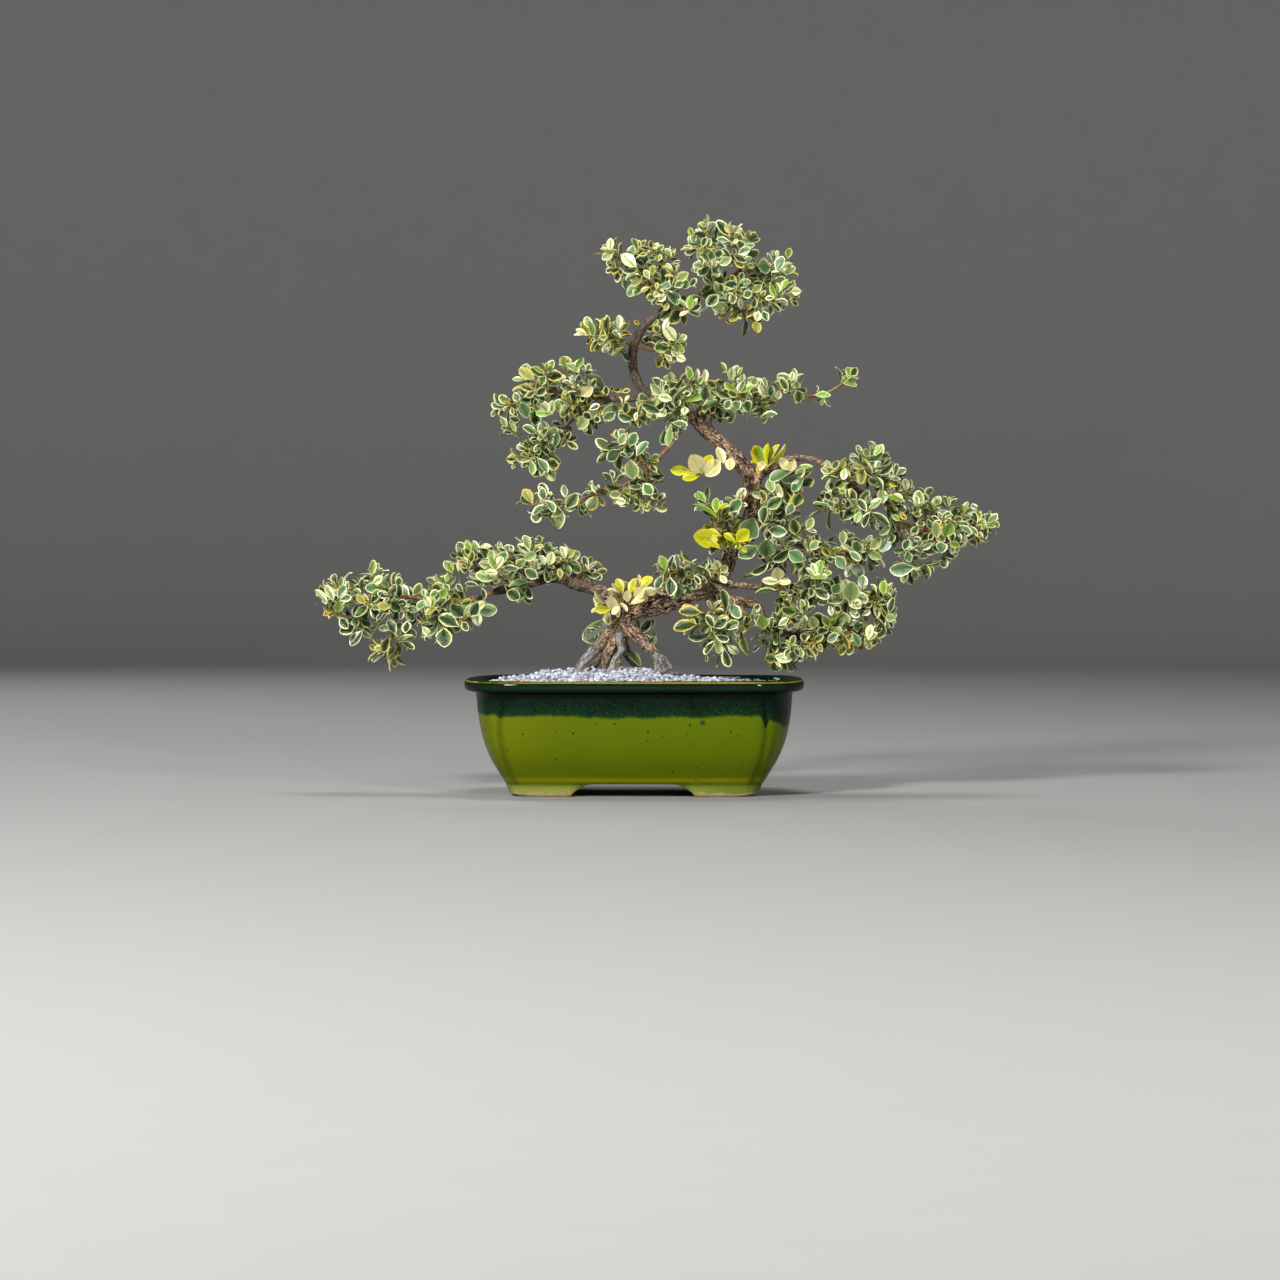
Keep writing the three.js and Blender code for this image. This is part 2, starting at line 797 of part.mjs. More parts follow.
// A block with a grained top: every other point of it is raised by a drawn amount.
function grainBlock() {
  const columns = Math.ceil((2 * innerHalfLength) / grainPitch) + 2;
  const rows = Math.ceil((2 * (innerHalfLength - depthInset)) / grainPitch) + 2;
  const top = [];
  for (let j = 0; j <= rows; j++) {
    for (let i = 0; i <= columns; i++) {
      const x = (i - columns / 2) * grainPitch;
      const y = (j - rows / 2) * grainPitch;
      const raised = (i + j) % 2 ? 1 : -1;
      const relief = raised * grainRelief * (0.4 + drawn(j * columns + i));
      top.push(new THREE.Vector3(x, y, moundHeight(x, y) + relief));
    }
  }
  const floor = soilEdgeHeight - 4;
  const at = (i, j) => j * (columns + 1) + i;
  const triangles = [];
  for (let j = 0; j < rows; j++) {
    for (let i = 0; i < columns; i++) {
      triangles.push([at(i, j), at(i + 1, j), at(i + 1, j + 1)]);
      triangles.push([at(i, j), at(i + 1, j + 1), at(i, j + 1)]);
    }
  }
  const edge = [];
  for (let i = 0; i < columns; i++) edge.push(at(i, 0));
  for (let j = 0; j < rows; j++) edge.push(at(columns, j));
  for (let i = columns; i > 0; i--) edge.push(at(i, rows));
  for (let j = rows; j > 0; j--) edge.push(at(0, j));
  const low = edge.map((index) => top[index].clone().setZ(floor));
  const lowStart = top.length;
  edge.forEach((index, k) => {
    const next = (k + 1) % edge.length;
    triangles.push([index, lowStart + k, lowStart + next], [index, lowStart + next, edge[next]]);
  });
  const centre = lowStart + low.length;
  low.forEach((_, k) => triangles.push([centre, lowStart + ((k + 1) % low.length), lowStart + k]));
  return solidFrom([...top, ...low, new THREE.Vector3(0, 0, floor)], triangles);
}

function buildGravel(rootHoles) {
  const edge = innerHalfLength - 0.6;
  const bed = skin([
    scaledOutline(soilMoundHeight + clearance, innerHalfLength, moundShare),
    outline(soilEdgeHeight + clearance, innerHalfLength - 2),
    outline(soilEdgeHeight + clearance + 2, edge),
    outline(potHeight + 2 * gravelMoundRise, edge),
  ]);
  return bed.intersect(grainBlock()).subtract(rootHoles);
}

function limbSolid({ points, radii, sides }) {
  return limb(points.map(vector), spreadRadii(radii, points.length), sides);
}

// Where a spray leaves the wood. It goes on from the end of a limb, or from a short stub.
function forkOf(spray) {
  const root = vector(spray.fork);
  const carrier = limbs.find(({ points }) => vector(points.at(-1)).equals(root));
  if (carrier) {
    const way = root.clone().sub(vector(carrier.points.at(-2))).normalize();
    return { root, start: root, way, hasStub: false };
  }
  const start = vector(spray.stems[0][0]);
  const way = start.clone().sub(root).normalize();
  return { root, start, way, hasStub: true };
}

function stubSolid(spray) {
  const { root, start, way } = forkOf(spray);
  return limb([root, start], [stemRadius.base + 0.5, stemRadius.base], 4, way, way);
}

function rootHoles() {
  const roots = limbs.filter(({ name }) => name === "trunk" || name.startsWith("root"));
  return joined(
    roots.map((root) => {
      const lowest = root.name === "trunk" ? root.points.slice(0, 4) : root.points;
      const spread = spreadRadii(root.radii, root.points.length).slice(0, lowest.length);
      const grown = lowest.map(vector);
      grown[root.name === "trunk" ? 0 : grown.length - 1].z -= clearance;
      return limb(grown, spread.map((radius) => radius + 1.4 * clearance), root.sides);
    }),
  );
}

// The nearest place on a spray's stems, moved back towards the wood so that a twig forks forward.
function twigStart(stems, tip) {
  let best = null;
  for (const stem of stems) {
    for (let i = 0; i + 1 < stem.length; i++) {
      const line = new THREE.Line3(stem[i], stem[i + 1]);
      const share = line.closestPointToPointParameter(tip, true);
      const near = line.at(share, new THREE.Vector3());
      const gap = near.distanceTo(tip);
      if (!best || gap < best.gap) {
        const back = Math.min((0.35 * gap) / line.distance(), share);
        best = { gap, point: line.at(share - back * 0.9, new THREE.Vector3()) };
      }
    }
  }
  return best.point;
}

function shootWay(from, tip) {
  const way = tip.clone().sub(from).normalize().multiplyScalar(0.9);
  return way.addScaledVector(up, 0.55).normalize();
}

// A twig and the two opposite leaves at its tip, as one closed skin. The leaves are one folded
// slab, and the twig's four edges run into the slab's underside at its middle.
function shootSolid({ from, tip, way, turn, length }, growth = 0) {
  const width = length * leafWidthShare;
  const thickness = leafThickness + 2 * growth;
  const reach = length + growth;
  const sideways = new THREE.Vector3(0, 1, 0).cross(way);
  if (sideways.length() < 0.2) sideways.set(1, 0, 0);
  sideways.normalize().applyAxisAngle(way, turn);
  const across = way.clone().cross(sideways);
  const rootHalf = 0.07 * length + growth;
  const top = [
    tip.clone().addScaledVector(across, rootHalf),
    tip.clone().addScaledVector(across, -rootHalf),
  ];
  const normals = [way, way];
  for (const side of [1, -1]) {
    const along = sideways
      .clone()
      .multiplyScalar(side * Math.sin(leafSpread))
      .addScaledVector(way, Math.cos(leafSpread));
    const face = way.clone().addScaledVector(along, -way.dot(along)).normalize();
    const span = across.clone().multiplyScalar(side);
    for (const [share, spread] of leafOutline) {
      const lift = Math.abs(spread) * leafFold * width - share ** 2 * leafDroop * length;
      top.push(
        tip
          .clone()
          .addScaledVector(along, share * reach)
          .addScaledVector(span, spread * width)
          .addScaledVector(face, lift),
      );
      normals.push(face);
    }
  }
  top.forEach((point, i) => point.addScaledVector(normals[i], growth));
  const under = top.map((point, i) => point.clone().addScaledVector(normals[i], -thickness));
  const middle = tip.clone().addScaledVector(way, growth - thickness);
  const twigHalf = twigRadius.tip + growth;
  const neck = [sideways, sideways.clone().negate()].map((side) =>
    middle.clone().addScaledVector(side, twigHalf),
  );
  const run = tip.clone().sub(from).normalize();
  const foot = [across, sideways, across.clone().negate(), sideways.clone().negate()].map((side) => {
    const square = side.clone().addScaledVector(run, -side.dot(run)).normalize();
    return from.clone().addScaledVector(square, twigRadius.base + growth);
  });
  const points = [...top, ...under, ...neck, ...foot];
  const count = top.length;
  const [neckA, neckB] = [2 * count, 2 * count + 1];
  const collar = [count, neckA, count + 1, neckB];
  const base = 2 * count + 2;
  const triangles = [
    [0, 1, 3], [1, 2, 3], [0, 3, 4], [0, 4, 5],
    [1, 0, 7], [0, 6, 7], [1, 7, 8], [1, 8, 9],
  ];
  for (const [a, b, c] of [[1, 2, 3], [0, 3, 4], [0, 4, 5], [0, 6, 7], [1, 7, 8], [1, 8, 9]]) {
    triangles.push([c + count, b + count, a + count]);
  }
  triangles.push([neckA, count, count + 3], [count + 1, neckA, count + 3]);
  triangles.push([count, neckB, count + 7], [neckB, count + 1, count + 7]);
  const loop = [1, 2, 3, 4, 5, 0, 6, 7, 8, 9];
  loop.forEach((start, i) => {
    const end = loop[(i + 1) % loop.length];
    triangles.push([start, start + count, end + count], [start, end + count, end]);
  });
  for (let i = 0; i < 4; i++) {
    const next = (i + 1) % 4;
    triangles.push([base + i, collar[i], collar[next]], [base + i, collar[next], base + next]);
  }
  triangles.push([base, base + 1, base + 2], [base, base + 2, base + 3]);
  return solidFrom(points, triangles);
}

function boxesMeet(a, b) {
  return [0, 1, 2].every((axis) => a.min[axis] <= b.max[axis] && b.min[axis] <= a.max[axis]);
}

// Everything that a new leaf or twig of a spray has to stay clear of, with the spray it is in.
const placed = [];

function place(solid, owner, isLeaf = false) {
  placed.push({ solid, owner, isLeaf, box: solid.boundingBox() });
}

// How many of the placed pieces a solid meets: those of other nodes, and leaves of its own spray.
function meets(solid, owner) {
  const box = solid.boundingBox();
  const met = placed.filter(
    (other) =>
      (other.owner !== owner || other.isLeaf) &&
      boxesMeet(box, other.box) &&
      !solid.intersect(other.solid).isEmpty(),
  );
  return { others: met.filter((other) => other.owner !== owner).length, own: met.length };
}

// A shoot is turned about its twig, then made a little smaller, until it crosses nothing.
function clearShoot(spray, from, tip, fullLength, firstTurn) {
  const way = shootWay(from, tip);
  let fallback = null;
  for (const share of [1, 0.85]) {
    for (const degrees of turnsToTry) {
      const turn = firstTurn + THREE.MathUtils.degToRad(degrees);
      const shoot = { from, tip, way, turn, length: share * fullLength };
      const met = meets(shootSolid(shoot, leafClearance), spray.name);
      if (met.own === 0) return shoot;
      if (met.others === 0 && !fallback) fallback = shoot;
    }
  }
  return fallback;
}

function buildStems(spray) {
  const { start, way, hasStub } = forkOf(spray);
  const stems = spray.stems.map((stem) => stem.map(vector));
  const first = start.clone().addScaledVector(way, clearance);
  if (hasStub) stems[0][0] = first;
  else stems[0].unshift(first);
  const solids = stems.map((stem, index) => {
    const base = index === 0 ? stemRadius.base : stemRadius.tip + 0.3;
    const radii = spreadRadii([base, stemRadius.tip], stem.length);
    return limb(stem, radii, 5, index === 0 ? way : undefined);
  });
  return { stems, solids };
}

let drawCount = 0;

// A tip with no room for its leaves among the other sprays is left out.
function buildSpray(spray) {
  const pieces = [...spray.solids];
  for (const point of spray.tips) {
    drawCount += 1;
    const tip = vector(point);
    const from = twigStart(spray.lines, tip);
    const length = THREE.MathUtils.lerp(leafLength.least, leafLength.most, drawn(drawCount));
    const shoot = clearShoot(spray, from, tip, length, Math.PI * drawn(drawCount + 0.5));
    if (!shoot) continue;
    const solid = shootSolid(shoot);
    pieces.push(solid);
    place(solid, spray.name, true);
  }
  return joined(pieces);
}

const bonsai = new THREE.Group();

function addMesh(name, solid, finish) {
  const { vertProperties, triVerts } = solid.getMesh();
  const geometry = new THREE.BufferGeometry();
  geometry.setAttribute("position", new THREE.BufferAttribute(new Float32Array(vertProperties), 3));
  geometry.setIndex(new THREE.BufferAttribute(new Uint32Array(triVerts), 1));
  const mesh = new THREE.Mesh(geometry, new THREE.MeshStandardMaterial(finish));
  mesh.name = name;
  bonsai.add(mesh);
}

const holes = rootHoles();
const pot = buildPot();
const soil = buildSoil(holes);
const gravel = buildGravel(holes);
const stubs = sprays.filter((spray) => forkOf(spray).hasStub).map(stubSolid);
const wood = joined([...limbs.map(limbSolid), ...stubs]);

place(pot, "pot");
place(gravel, "gravel");
limbs.forEach((one) => place(limbSolid(one), "wood"));
stubs.forEach((stub) => place(stub, "wood"));

addMesh("pot", pot, glaze);
addMesh("drain_mesh_left", buildDrainMesh(-1), meshPlastic);
addMesh("drain_mesh_right", buildDrainMesh(1), meshPlastic);
addMesh("soil", soil, potSoil);
addMesh("gravel", gravel, whiteGravel);
addMesh("trunk_and_branches", wood, bark);

for (const spray of sprays) {
  const { stems, solids } = buildStems(spray);
  spray.lines = stems;
  spray.solids = solids;
  solids.forEach((solid) => place(solid, spray.name));
}
for (const spray of sprays) addMesh(spray.name, buildSpray(spray), spray.leaf);

// The origin is the middle of the whole tree and pot, on the surface that the feet stand on.
const whole = new THREE.Box3().setFromObject(bonsai);
const middle = whole.getCenter(new THREE.Vector3());
bonsai.position.set(-middle.x, -middle.y, 0);

export default bonsai;
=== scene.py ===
import math
import random

import bmesh
import bpy
import numpy as np
from bpy.props import FloatProperty, FloatVectorProperty, IntProperty, PointerProperty
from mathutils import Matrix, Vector, noise
from mathutils.kdtree import KDTree


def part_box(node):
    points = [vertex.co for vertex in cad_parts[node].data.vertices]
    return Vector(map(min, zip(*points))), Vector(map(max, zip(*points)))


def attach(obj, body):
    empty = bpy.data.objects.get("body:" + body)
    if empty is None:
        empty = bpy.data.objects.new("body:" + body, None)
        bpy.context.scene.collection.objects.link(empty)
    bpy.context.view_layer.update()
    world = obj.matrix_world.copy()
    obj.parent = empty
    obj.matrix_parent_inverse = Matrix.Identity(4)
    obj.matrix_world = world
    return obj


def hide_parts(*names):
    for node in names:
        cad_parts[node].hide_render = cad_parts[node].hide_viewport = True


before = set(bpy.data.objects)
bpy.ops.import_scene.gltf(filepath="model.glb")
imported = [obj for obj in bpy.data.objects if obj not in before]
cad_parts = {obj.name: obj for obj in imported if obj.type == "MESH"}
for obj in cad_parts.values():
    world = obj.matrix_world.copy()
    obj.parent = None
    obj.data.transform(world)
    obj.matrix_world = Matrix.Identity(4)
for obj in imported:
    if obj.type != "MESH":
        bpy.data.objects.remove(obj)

bl_info = {
    "name": "Natal Plum Bonsai",
    "version": (1, 0, 0),
    "blender": (4, 5, 0),
    "location": "View3D > Sidebar > Bonsai",
    "description": "Builds a variegated natal plum bonsai in its glazed pot around a packed frame",
    "category": "Add Mesh",
}

# Without a seed the vector noise starts from the clock, and each run would differ.
NOISE_SEED = 7
noise.seed_set(NOISE_SEED)

MM = 0.001
ROOT = "root"
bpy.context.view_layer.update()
POT_LOW, POT_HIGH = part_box("pot")
# All tables are in millimetres from the middle of the pot's plan, on the floor that it stands on.
PLAN_MIDDLE = np.array(((POT_LOW.x + POT_HIGH.x) / 2, (POT_LOW.y + POT_HIGH.y) / 2, 0.0))

POT_LENGTH = 300
POT_DEPTH = 200
POT_HEIGHT = 102
DEPTH_INSET = (POT_LENGTH - POT_DEPTH) / 2
INNER_HALF_LENGTH = 134
FOOT_HEIGHT = 11.2
FLOOR_HEIGHT = 20
DRAIN_RADIUS = 10
DRAIN_OFFSET = 52
# The posts that cut the drain holes: their length and the height of their middle.
DRAIN_POST = (40, 16)
# Each profile lists heights over the floor, each with half the outline's length there.
FOOT_PROFILE = (
    (FOOT_HEIGHT, 99.5), (4, 99.5), (0.6, 99.7), (0, 100.4), (0, 110.0), (0.8, 111.2), (6, 112.8),
    (10.2, 113.9),
)
BODY_PROFILE = (
    (FOOT_HEIGHT, 114.5), (20, 120), (33, 128), (50, 134.5), (70, 138.5), (90, 140), (91.2, 141.5),
)
RIM_PROFILE = (
    (91.8, 147.4), (93.6, 149.8), (97, 150), (99.6, 149.9), (101.6, 148.2), (102, 145.5),
    (101.6, 141), (100, 138),
)
INSIDE_PROFILE = ((97, 136), (88, 134), (55, 130), (28, 116), (FLOOR_HEIGHT, 98))
SIDE_LOBE = {"top": 29, "bottom": 10}
FRONT_LOBE = {"top": 13, "bottom": 8}
LOBE_SQUARENESS = 2.25
SIDE_LOBE_STEPS = 40
FRONT_LOBE_STEPS = 62
LOBE_POINTS = 300
CREASE_BLUR = 0.9
# Flat surfaces are closed by rings of this share of their edge.
FLAT_SHARES = (0.3, 0.65)
# Each foot touches the floor this far out, and curls up over this length beyond it.
FOOT_TOUCH = 84
FOOT_CURL_LENGTH = 26
FOOT_CURL = 2.4
ARCH_SHARES = (0.0, 0.6, 0.69, 0.76, 0.88, 0.95, 1.0)
ARCH_RISES = (11.0, 11.0, 10.7, 9.6, 6.1, 3.5, 0.0)
FRONT_ARCH_HALF_WIDTH = 54.5
SIDE_ARCH_HALF_WIDTH = 27.5

# The gravel is heaped towards the left, and falls away to the right over this stretch.
GRAVEL_EDGE_HEIGHT = 94.5
GRAVEL_MOUND_RISE = 13.8
GRAVEL_SLOPE_START = -15
GRAVEL_SLOPE_LENGTH = 85
GRAVEL_SLOPE_DROP = 7.6
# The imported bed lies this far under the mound's height, and its underside at these heights.
GRAVEL_BED_DROP = 2.4
GRAVEL_BED_EDGE = 89.5
GRAVEL_BED_INNER_EDGE = 91.0
GRAVEL_BED_MIDDLE = 92.0
GRAVEL_BED_SHARES = (
    1.0, 0.985, 0.93, 0.86, 0.78, 0.7, 0.62, 0.54, 0.46, 0.38, 0.3, 0.22, 0.14, 0.07
)
GRAVEL_SEED = 11
GRAIN_SHAPES = 14
GRAIN_CUTS = 6
# Grains stand this share of their radius apart, in rows that are this share of that apart.
GRAIN_PITCH = 1.7
GRAIN_ROW_PITCH = 0.866
GRAIN_SCATTER = 0.8
SECOND_GRAIN_CHANCE = 0.14


class Wire:
    """A socket of a finish's node tree, so that sums can be written as Python expressions."""

    def __init__(self, finish, socket):
        self.finish = finish
        self.socket = socket

    def maths(self, operation, *values):
        return self.finish.node(
            "ShaderNodeMath", {"operation": operation}, dict(enumerate(values))
        )

    def __add__(self, other):
        return self.maths("ADD", self, other)

    def __radd__(self, other):
        return self.maths("ADD", other, self)

    def __sub__(self, other):
        return self.maths("SUBTRACT", self, other)

    def __rsub__(self, other):
        return self.maths("SUBTRACT", other, self)

    def __mul__(self, other):
        return self.maths("MULTIPLY", self, other)

    def __rmul__(self, other):
        return self.maths("MULTIPLY", other, self)

    def __truediv__(self, other):
        return self.maths("DIVIDE", self, other)

    def __abs__(self):
        return self.maths("ABSOLUTE", self)

    def fraction(self):
        return self.maths("FRACT", self)

    def least(self, other):
        return self.maths("MINIMUM", self, other)

    def most(self, other):
        return self.maths("MAXIMUM", self, other)

    def rise(self, low, high):
        """0 below low and 1 above high, with a smooth step between them."""
        return self.finish.node(
            "ShaderNodeMapRange",
            {"interpolation_type": "SMOOTHSTEP"},
            {"Value": self, "From Min": low, "From Max": high},
        )

    def hump(self, middle, width):
        """1 at middle, falling smoothly to 0 at width away from it."""
        return 1 - abs(self - middle).rise(0.0, width)


class Finish:
    """A material under construction, with one surface shader."""

    def __init__(self, name, **constants):
        self.material = bpy.data.materials.new(name)
        self.material.use_nodes = True
        self.tree = self.material.node_tree
        self.tree.nodes.clear()
        self.surface = self.tree.nodes.new("ShaderNodeBsdfPrincipled")
        output = self.tree.nodes.new("ShaderNodeOutputMaterial")
        self.tree.links.new(self.surface.outputs[0], output.inputs[0])
        for key, value in constants.items():
            self.set(self.surface.inputs[key.replace("_", " ")], value)

    def set(self, socket, value):
        """Links a wire to a socket, or gives the socket a plain value or colour."""
        if isinstance(value, Wire):
            self.tree.links.new(value.socket, socket)
        else:
            socket.default_value = opaque(value) if socket.type == "RGBA" else value

    def node(self, kind, settings=None, values=None, output=0):
        """Any node: its settings first, then the values or links of its sockets."""
        made = self.tree.nodes.new(kind)
        for key, value in (settings or {}).items():
            setattr(made, key, value)
        for key, value in (values or {}).items():
            self.set(made.inputs[key], value)
        return Wire(self, made.outputs[output])

    def place(self):
        """The point in millimetres from the middle of the pot's plan."""
        point = self.node("ShaderNodeTexCoord", output="Object")
        moved = self.node(
            "ShaderNodeVectorMath", {"operation": "SUBTRACT"}, {0: point, 1: tuple(PLAN_MIDDLE)}
        )
        return self.node("ShaderNodeVectorMath", {"operation": "SCALE"}, {0: moved, 3: 1 / MM})

    def attribute(self, name):
        return self.node("ShaderNodeAttribute", {"attribute_name": name}, output="Vector")

    def parts(self, vector):
        separated = self.node("ShaderNodeSeparateXYZ", values={0: vector})
        return tuple(Wire(self, socket) for socket in separated.socket.node.outputs)

    def upward(self):
        """How far the surface faces up, from -1 to 1."""
        return self.parts(self.node("ShaderNodeNewGeometry", output="Normal"))[2]

    def vector(self, x, y, z):
        return self.node("ShaderNodeCombineXYZ", values={0: x, 1: y, 2: z})

    def noise(self, vector, scale=1.0, detail=2.0, roughness=0.5):
        values = {"Vector": vector, "Scale": scale, "Detail": detail, "Roughness": roughness}
        return self.node("ShaderNodeTexNoise", values=values, output="Fac")

    def cells(self, vector, scale=1.0, output="Distance", feature="F1"):
        values = {"Vector": vector, "Scale": scale}
        return self.node("ShaderNodeTexVoronoi", {"feature": feature}, values, output)

    def mix(self, mask, low, high):
        """The colour low where the mask is 0 and high where it is 1."""
        values = {0: mask, 6: low, 7: high}
        return self.node("ShaderNodeMix", {"data_type": "RGBA"}, values, 2)

    def coated(self, colour, *coats):
        """A colour under coats, each a mask and the colour that shows where the mask is 1."""
        for mask, coat in coats:
            colour = self.mix(mask, colour, coat)
        return colour

    def wear(self, colour, roughness=None, height=None, depth=0.1):
        """Feeds the surface: its colour, its roughness and a relief that is depth deep in mm."""
        self.set(self.surface.inputs["Base Color"], colour)
        if roughness is not None:
            self.set(self.surface.inputs["Roughness"], roughness)
        if height is not None:
            values = {"Strength": 1.0, "Distance": depth * MM, "Height": height}
            relief = self.node("ShaderNodeBump", values=values)
            self.set(self.surface.inputs["Normal"], relief)
        return self.material


def tint(red, green, blue):
    """A colour as it is seen on a screen, from 0 to 255, turned into scene light."""
    shares = (red / 255, green / 255, blue / 255)
    return tuple(s / 12.92 if s <= 0.04045 else ((s + 0.055) / 1.055) ** 2.4 for s in shares)


def opaque(colour):
    return (*colour[:3], 1.0)


def colour_setting(name, description, default):
    return FloatVectorProperty(
        name=name, description=description, default=default, size=3, subtype="COLOR", min=0, max=1
    )


def length_setting(name, description, default):
    return FloatProperty(
        name=name, description=description, default=default, min=0, unit="LENGTH",
        subtype="DISTANCE",
    )


class BonsaiPotSettings(bpy.types.PropertyGroup):
    glaze_line: length_setting(
        "Glaze Line", "Height of the dark glaze's lower edge over the floor", 71.5 * MM
    )
    lime_glaze: colour_setting("Lime Glaze", "Glaze of the pot's body", tint(84, 102, 0))
    dark_glaze: colour_setting("Dark Glaze", "Glaze that runs down from the rim", tint(0, 12, 6))


class BonsaiGravelSettings(bpy.types.PropertyGroup):
    grain_size: length_setting("Grain Size", "Middling width of a grain", 4.6 * MM)
    grain_colour: colour_setting("Grain Colour", "Shaded tone of a grain", tint(150, 153, 168))


class BonsaiWoodSettings(bpy.types.PropertyGroup):
    bark_depth: length_setting("Bark Depth", "Depth of the bark's cracks on the trunk", 1.0 * MM)
    bark_colour: colour_setting("Bark Colour", "Main tone of the bark", tint(100, 77, 64))


class BonsaiLeafSettings(bpy.types.PropertyGroup):
    shortest: length_setting("Shortest Leaf", "Length of a small full-grown leaf", 11 * MM)
    longest: length_setting("Longest Leaf", "Length of a large full-grown leaf", 15.5 * MM)
    width_share: FloatProperty(
        name="Width Share", description="A leaf's width over its length", default=0.64,
        min=0.2, max=1,
    )
    seed: IntProperty(name="Seed", description="Changes how every leaf turns", default=7, min=0)


class BonsaiStageSettings(bpy.types.PropertyGroup):
    camera_distance: length_setting(
        "Camera Distance", "From the camera to the middle of the pot", 3.7
    )
    camera_height: length_setting("Camera Height", "Height of the camera over the floor", 0.2259)
    floor_colour: colour_setting(
        "Floor Colour", "Paper that the pot stands on", tint(148, 148, 146)
    )
# Each limb of the wood: its radius at points spread along it, and the line that it follows.
LIMBS = {
    "trunk": ((4.5, 5, 6.2, 7.6, 8.4, 10.2, 10.4, 9.2, 8.2, 7.6, 7, 6.6, 6.4, 6.4, 6.6, 6.8, 6.8,
     6.6, 6.4, 6, 5.2, 4.8, 4.5, 4.1, 3.9, 3.8, 3.7, 3.5, 3.3, 3),
    ((-19,3,88), (-18,2,111), (-15,1,128), (-13,0,143), (-11,-2,158), (5,-6,165), (23,-9,169),
     (41,-10,174), (54,-9,178), (69,-6,183), (79,0,195), (85,6,211), (93,8,229), (102,6,245),
     (105,2,264), (102,-2,280), (95,-5,290), (84,-8,301), (73,-9,312), (62,-8,322), (48,-5,335),
     (31,-1,345), (12,3,353), (2,5,365), (-2,4,381), (0,1,397), (8,-3,412), (24,-5,425),
     (40,-4,434), (55,0,439))),
    "left_branch": ((6, 3.5),
    ((-8,-3,163), (-25,-2,176), (-41,0,182), (-53,3,185), (-65,6,190), (-78,8,190), (-91,8,186),
     (-108,5,182), (-124,2,178))),
    "pale_branch": ((2.8, 2.3),
    ((30,-8,170), (44,-17,179), (55,-18,182), (65,-18,185), (79,-16,183), (93,-12,184),
     (108,-6,182), (118,-3,180))),
    "low_branch": ((5.2, 3),
    ((65,-7,181), (77,-9,172), (98,-8,169), (108,-6,166), (112,-4,157), (116,-2,145), (126,0,142),
     (136,0,141))),
    "mid_branch": ((3, 2.2),
    ((99,6,244), (113,8,235), (127,12,229), (139,14,222), (154,15,216))),
    "right_fork": ((6.2, 5.4, 3.8, 3.2, 2.9, 2.7, 2.6, 2.5, 2.4, 2.3, 2.2),
    ((103,-1,272), (112,-3,284), (127,-4,290), (138,-3,296), (152,0,296), (165,2,292), (178,4,283),
     (188,3,276), (198,3,268), (208,3,263), (217,2,260))),
    "droop_branch": ((2.4, 2),
    ((52,-5,334), (41,-13,321), (31,-18,306))),
    "mid_left_branch": ((3.2, 2.5),
    ((12,3,353), (-4,9,349), (-19,16,349), (-33,22,350))),
    "root_left": ((5.6, 5.2, 4.8, 4.2, 3, 2.4),
    ((-16,-2,152), (-25,-8,139), (-35,-12,127), (-43,-15,118), (-51,-18,107), (-54,-19,99))),
    "root_centre": ((3.4, 3, 2.6, 2.4, 2.6, 3),
    ((-14,-7,142), (-13,-12,134), (-11,-14,128), (-15,-16,122), (-19,-19,113), (-18,-21,99))),
    "root_right": ((6, 5.6, 5.2, 4.6, 3.6, 3.2),
    ((-10,-3,151), (0,-8,141), (10,-10,133), (18,-12,125), (21,-13,117), (20,-14,99))),
    "root_back_left": ((5, 2.8),
    ((-17,3,138), (-28,15,123), (-39,25,110), (-45,30,99))),
    "root_back_right": ((4.4, 2.8),
    ((-12,3,138), (-6,14,122), (3,24,109), (8,29,99))),
    "root_small": ((5.4, 4.6, 3.4, 3),
    ((-18,-3,137), (-24,-8,124), (-26,-11,113), (-27,-13,99))),
}

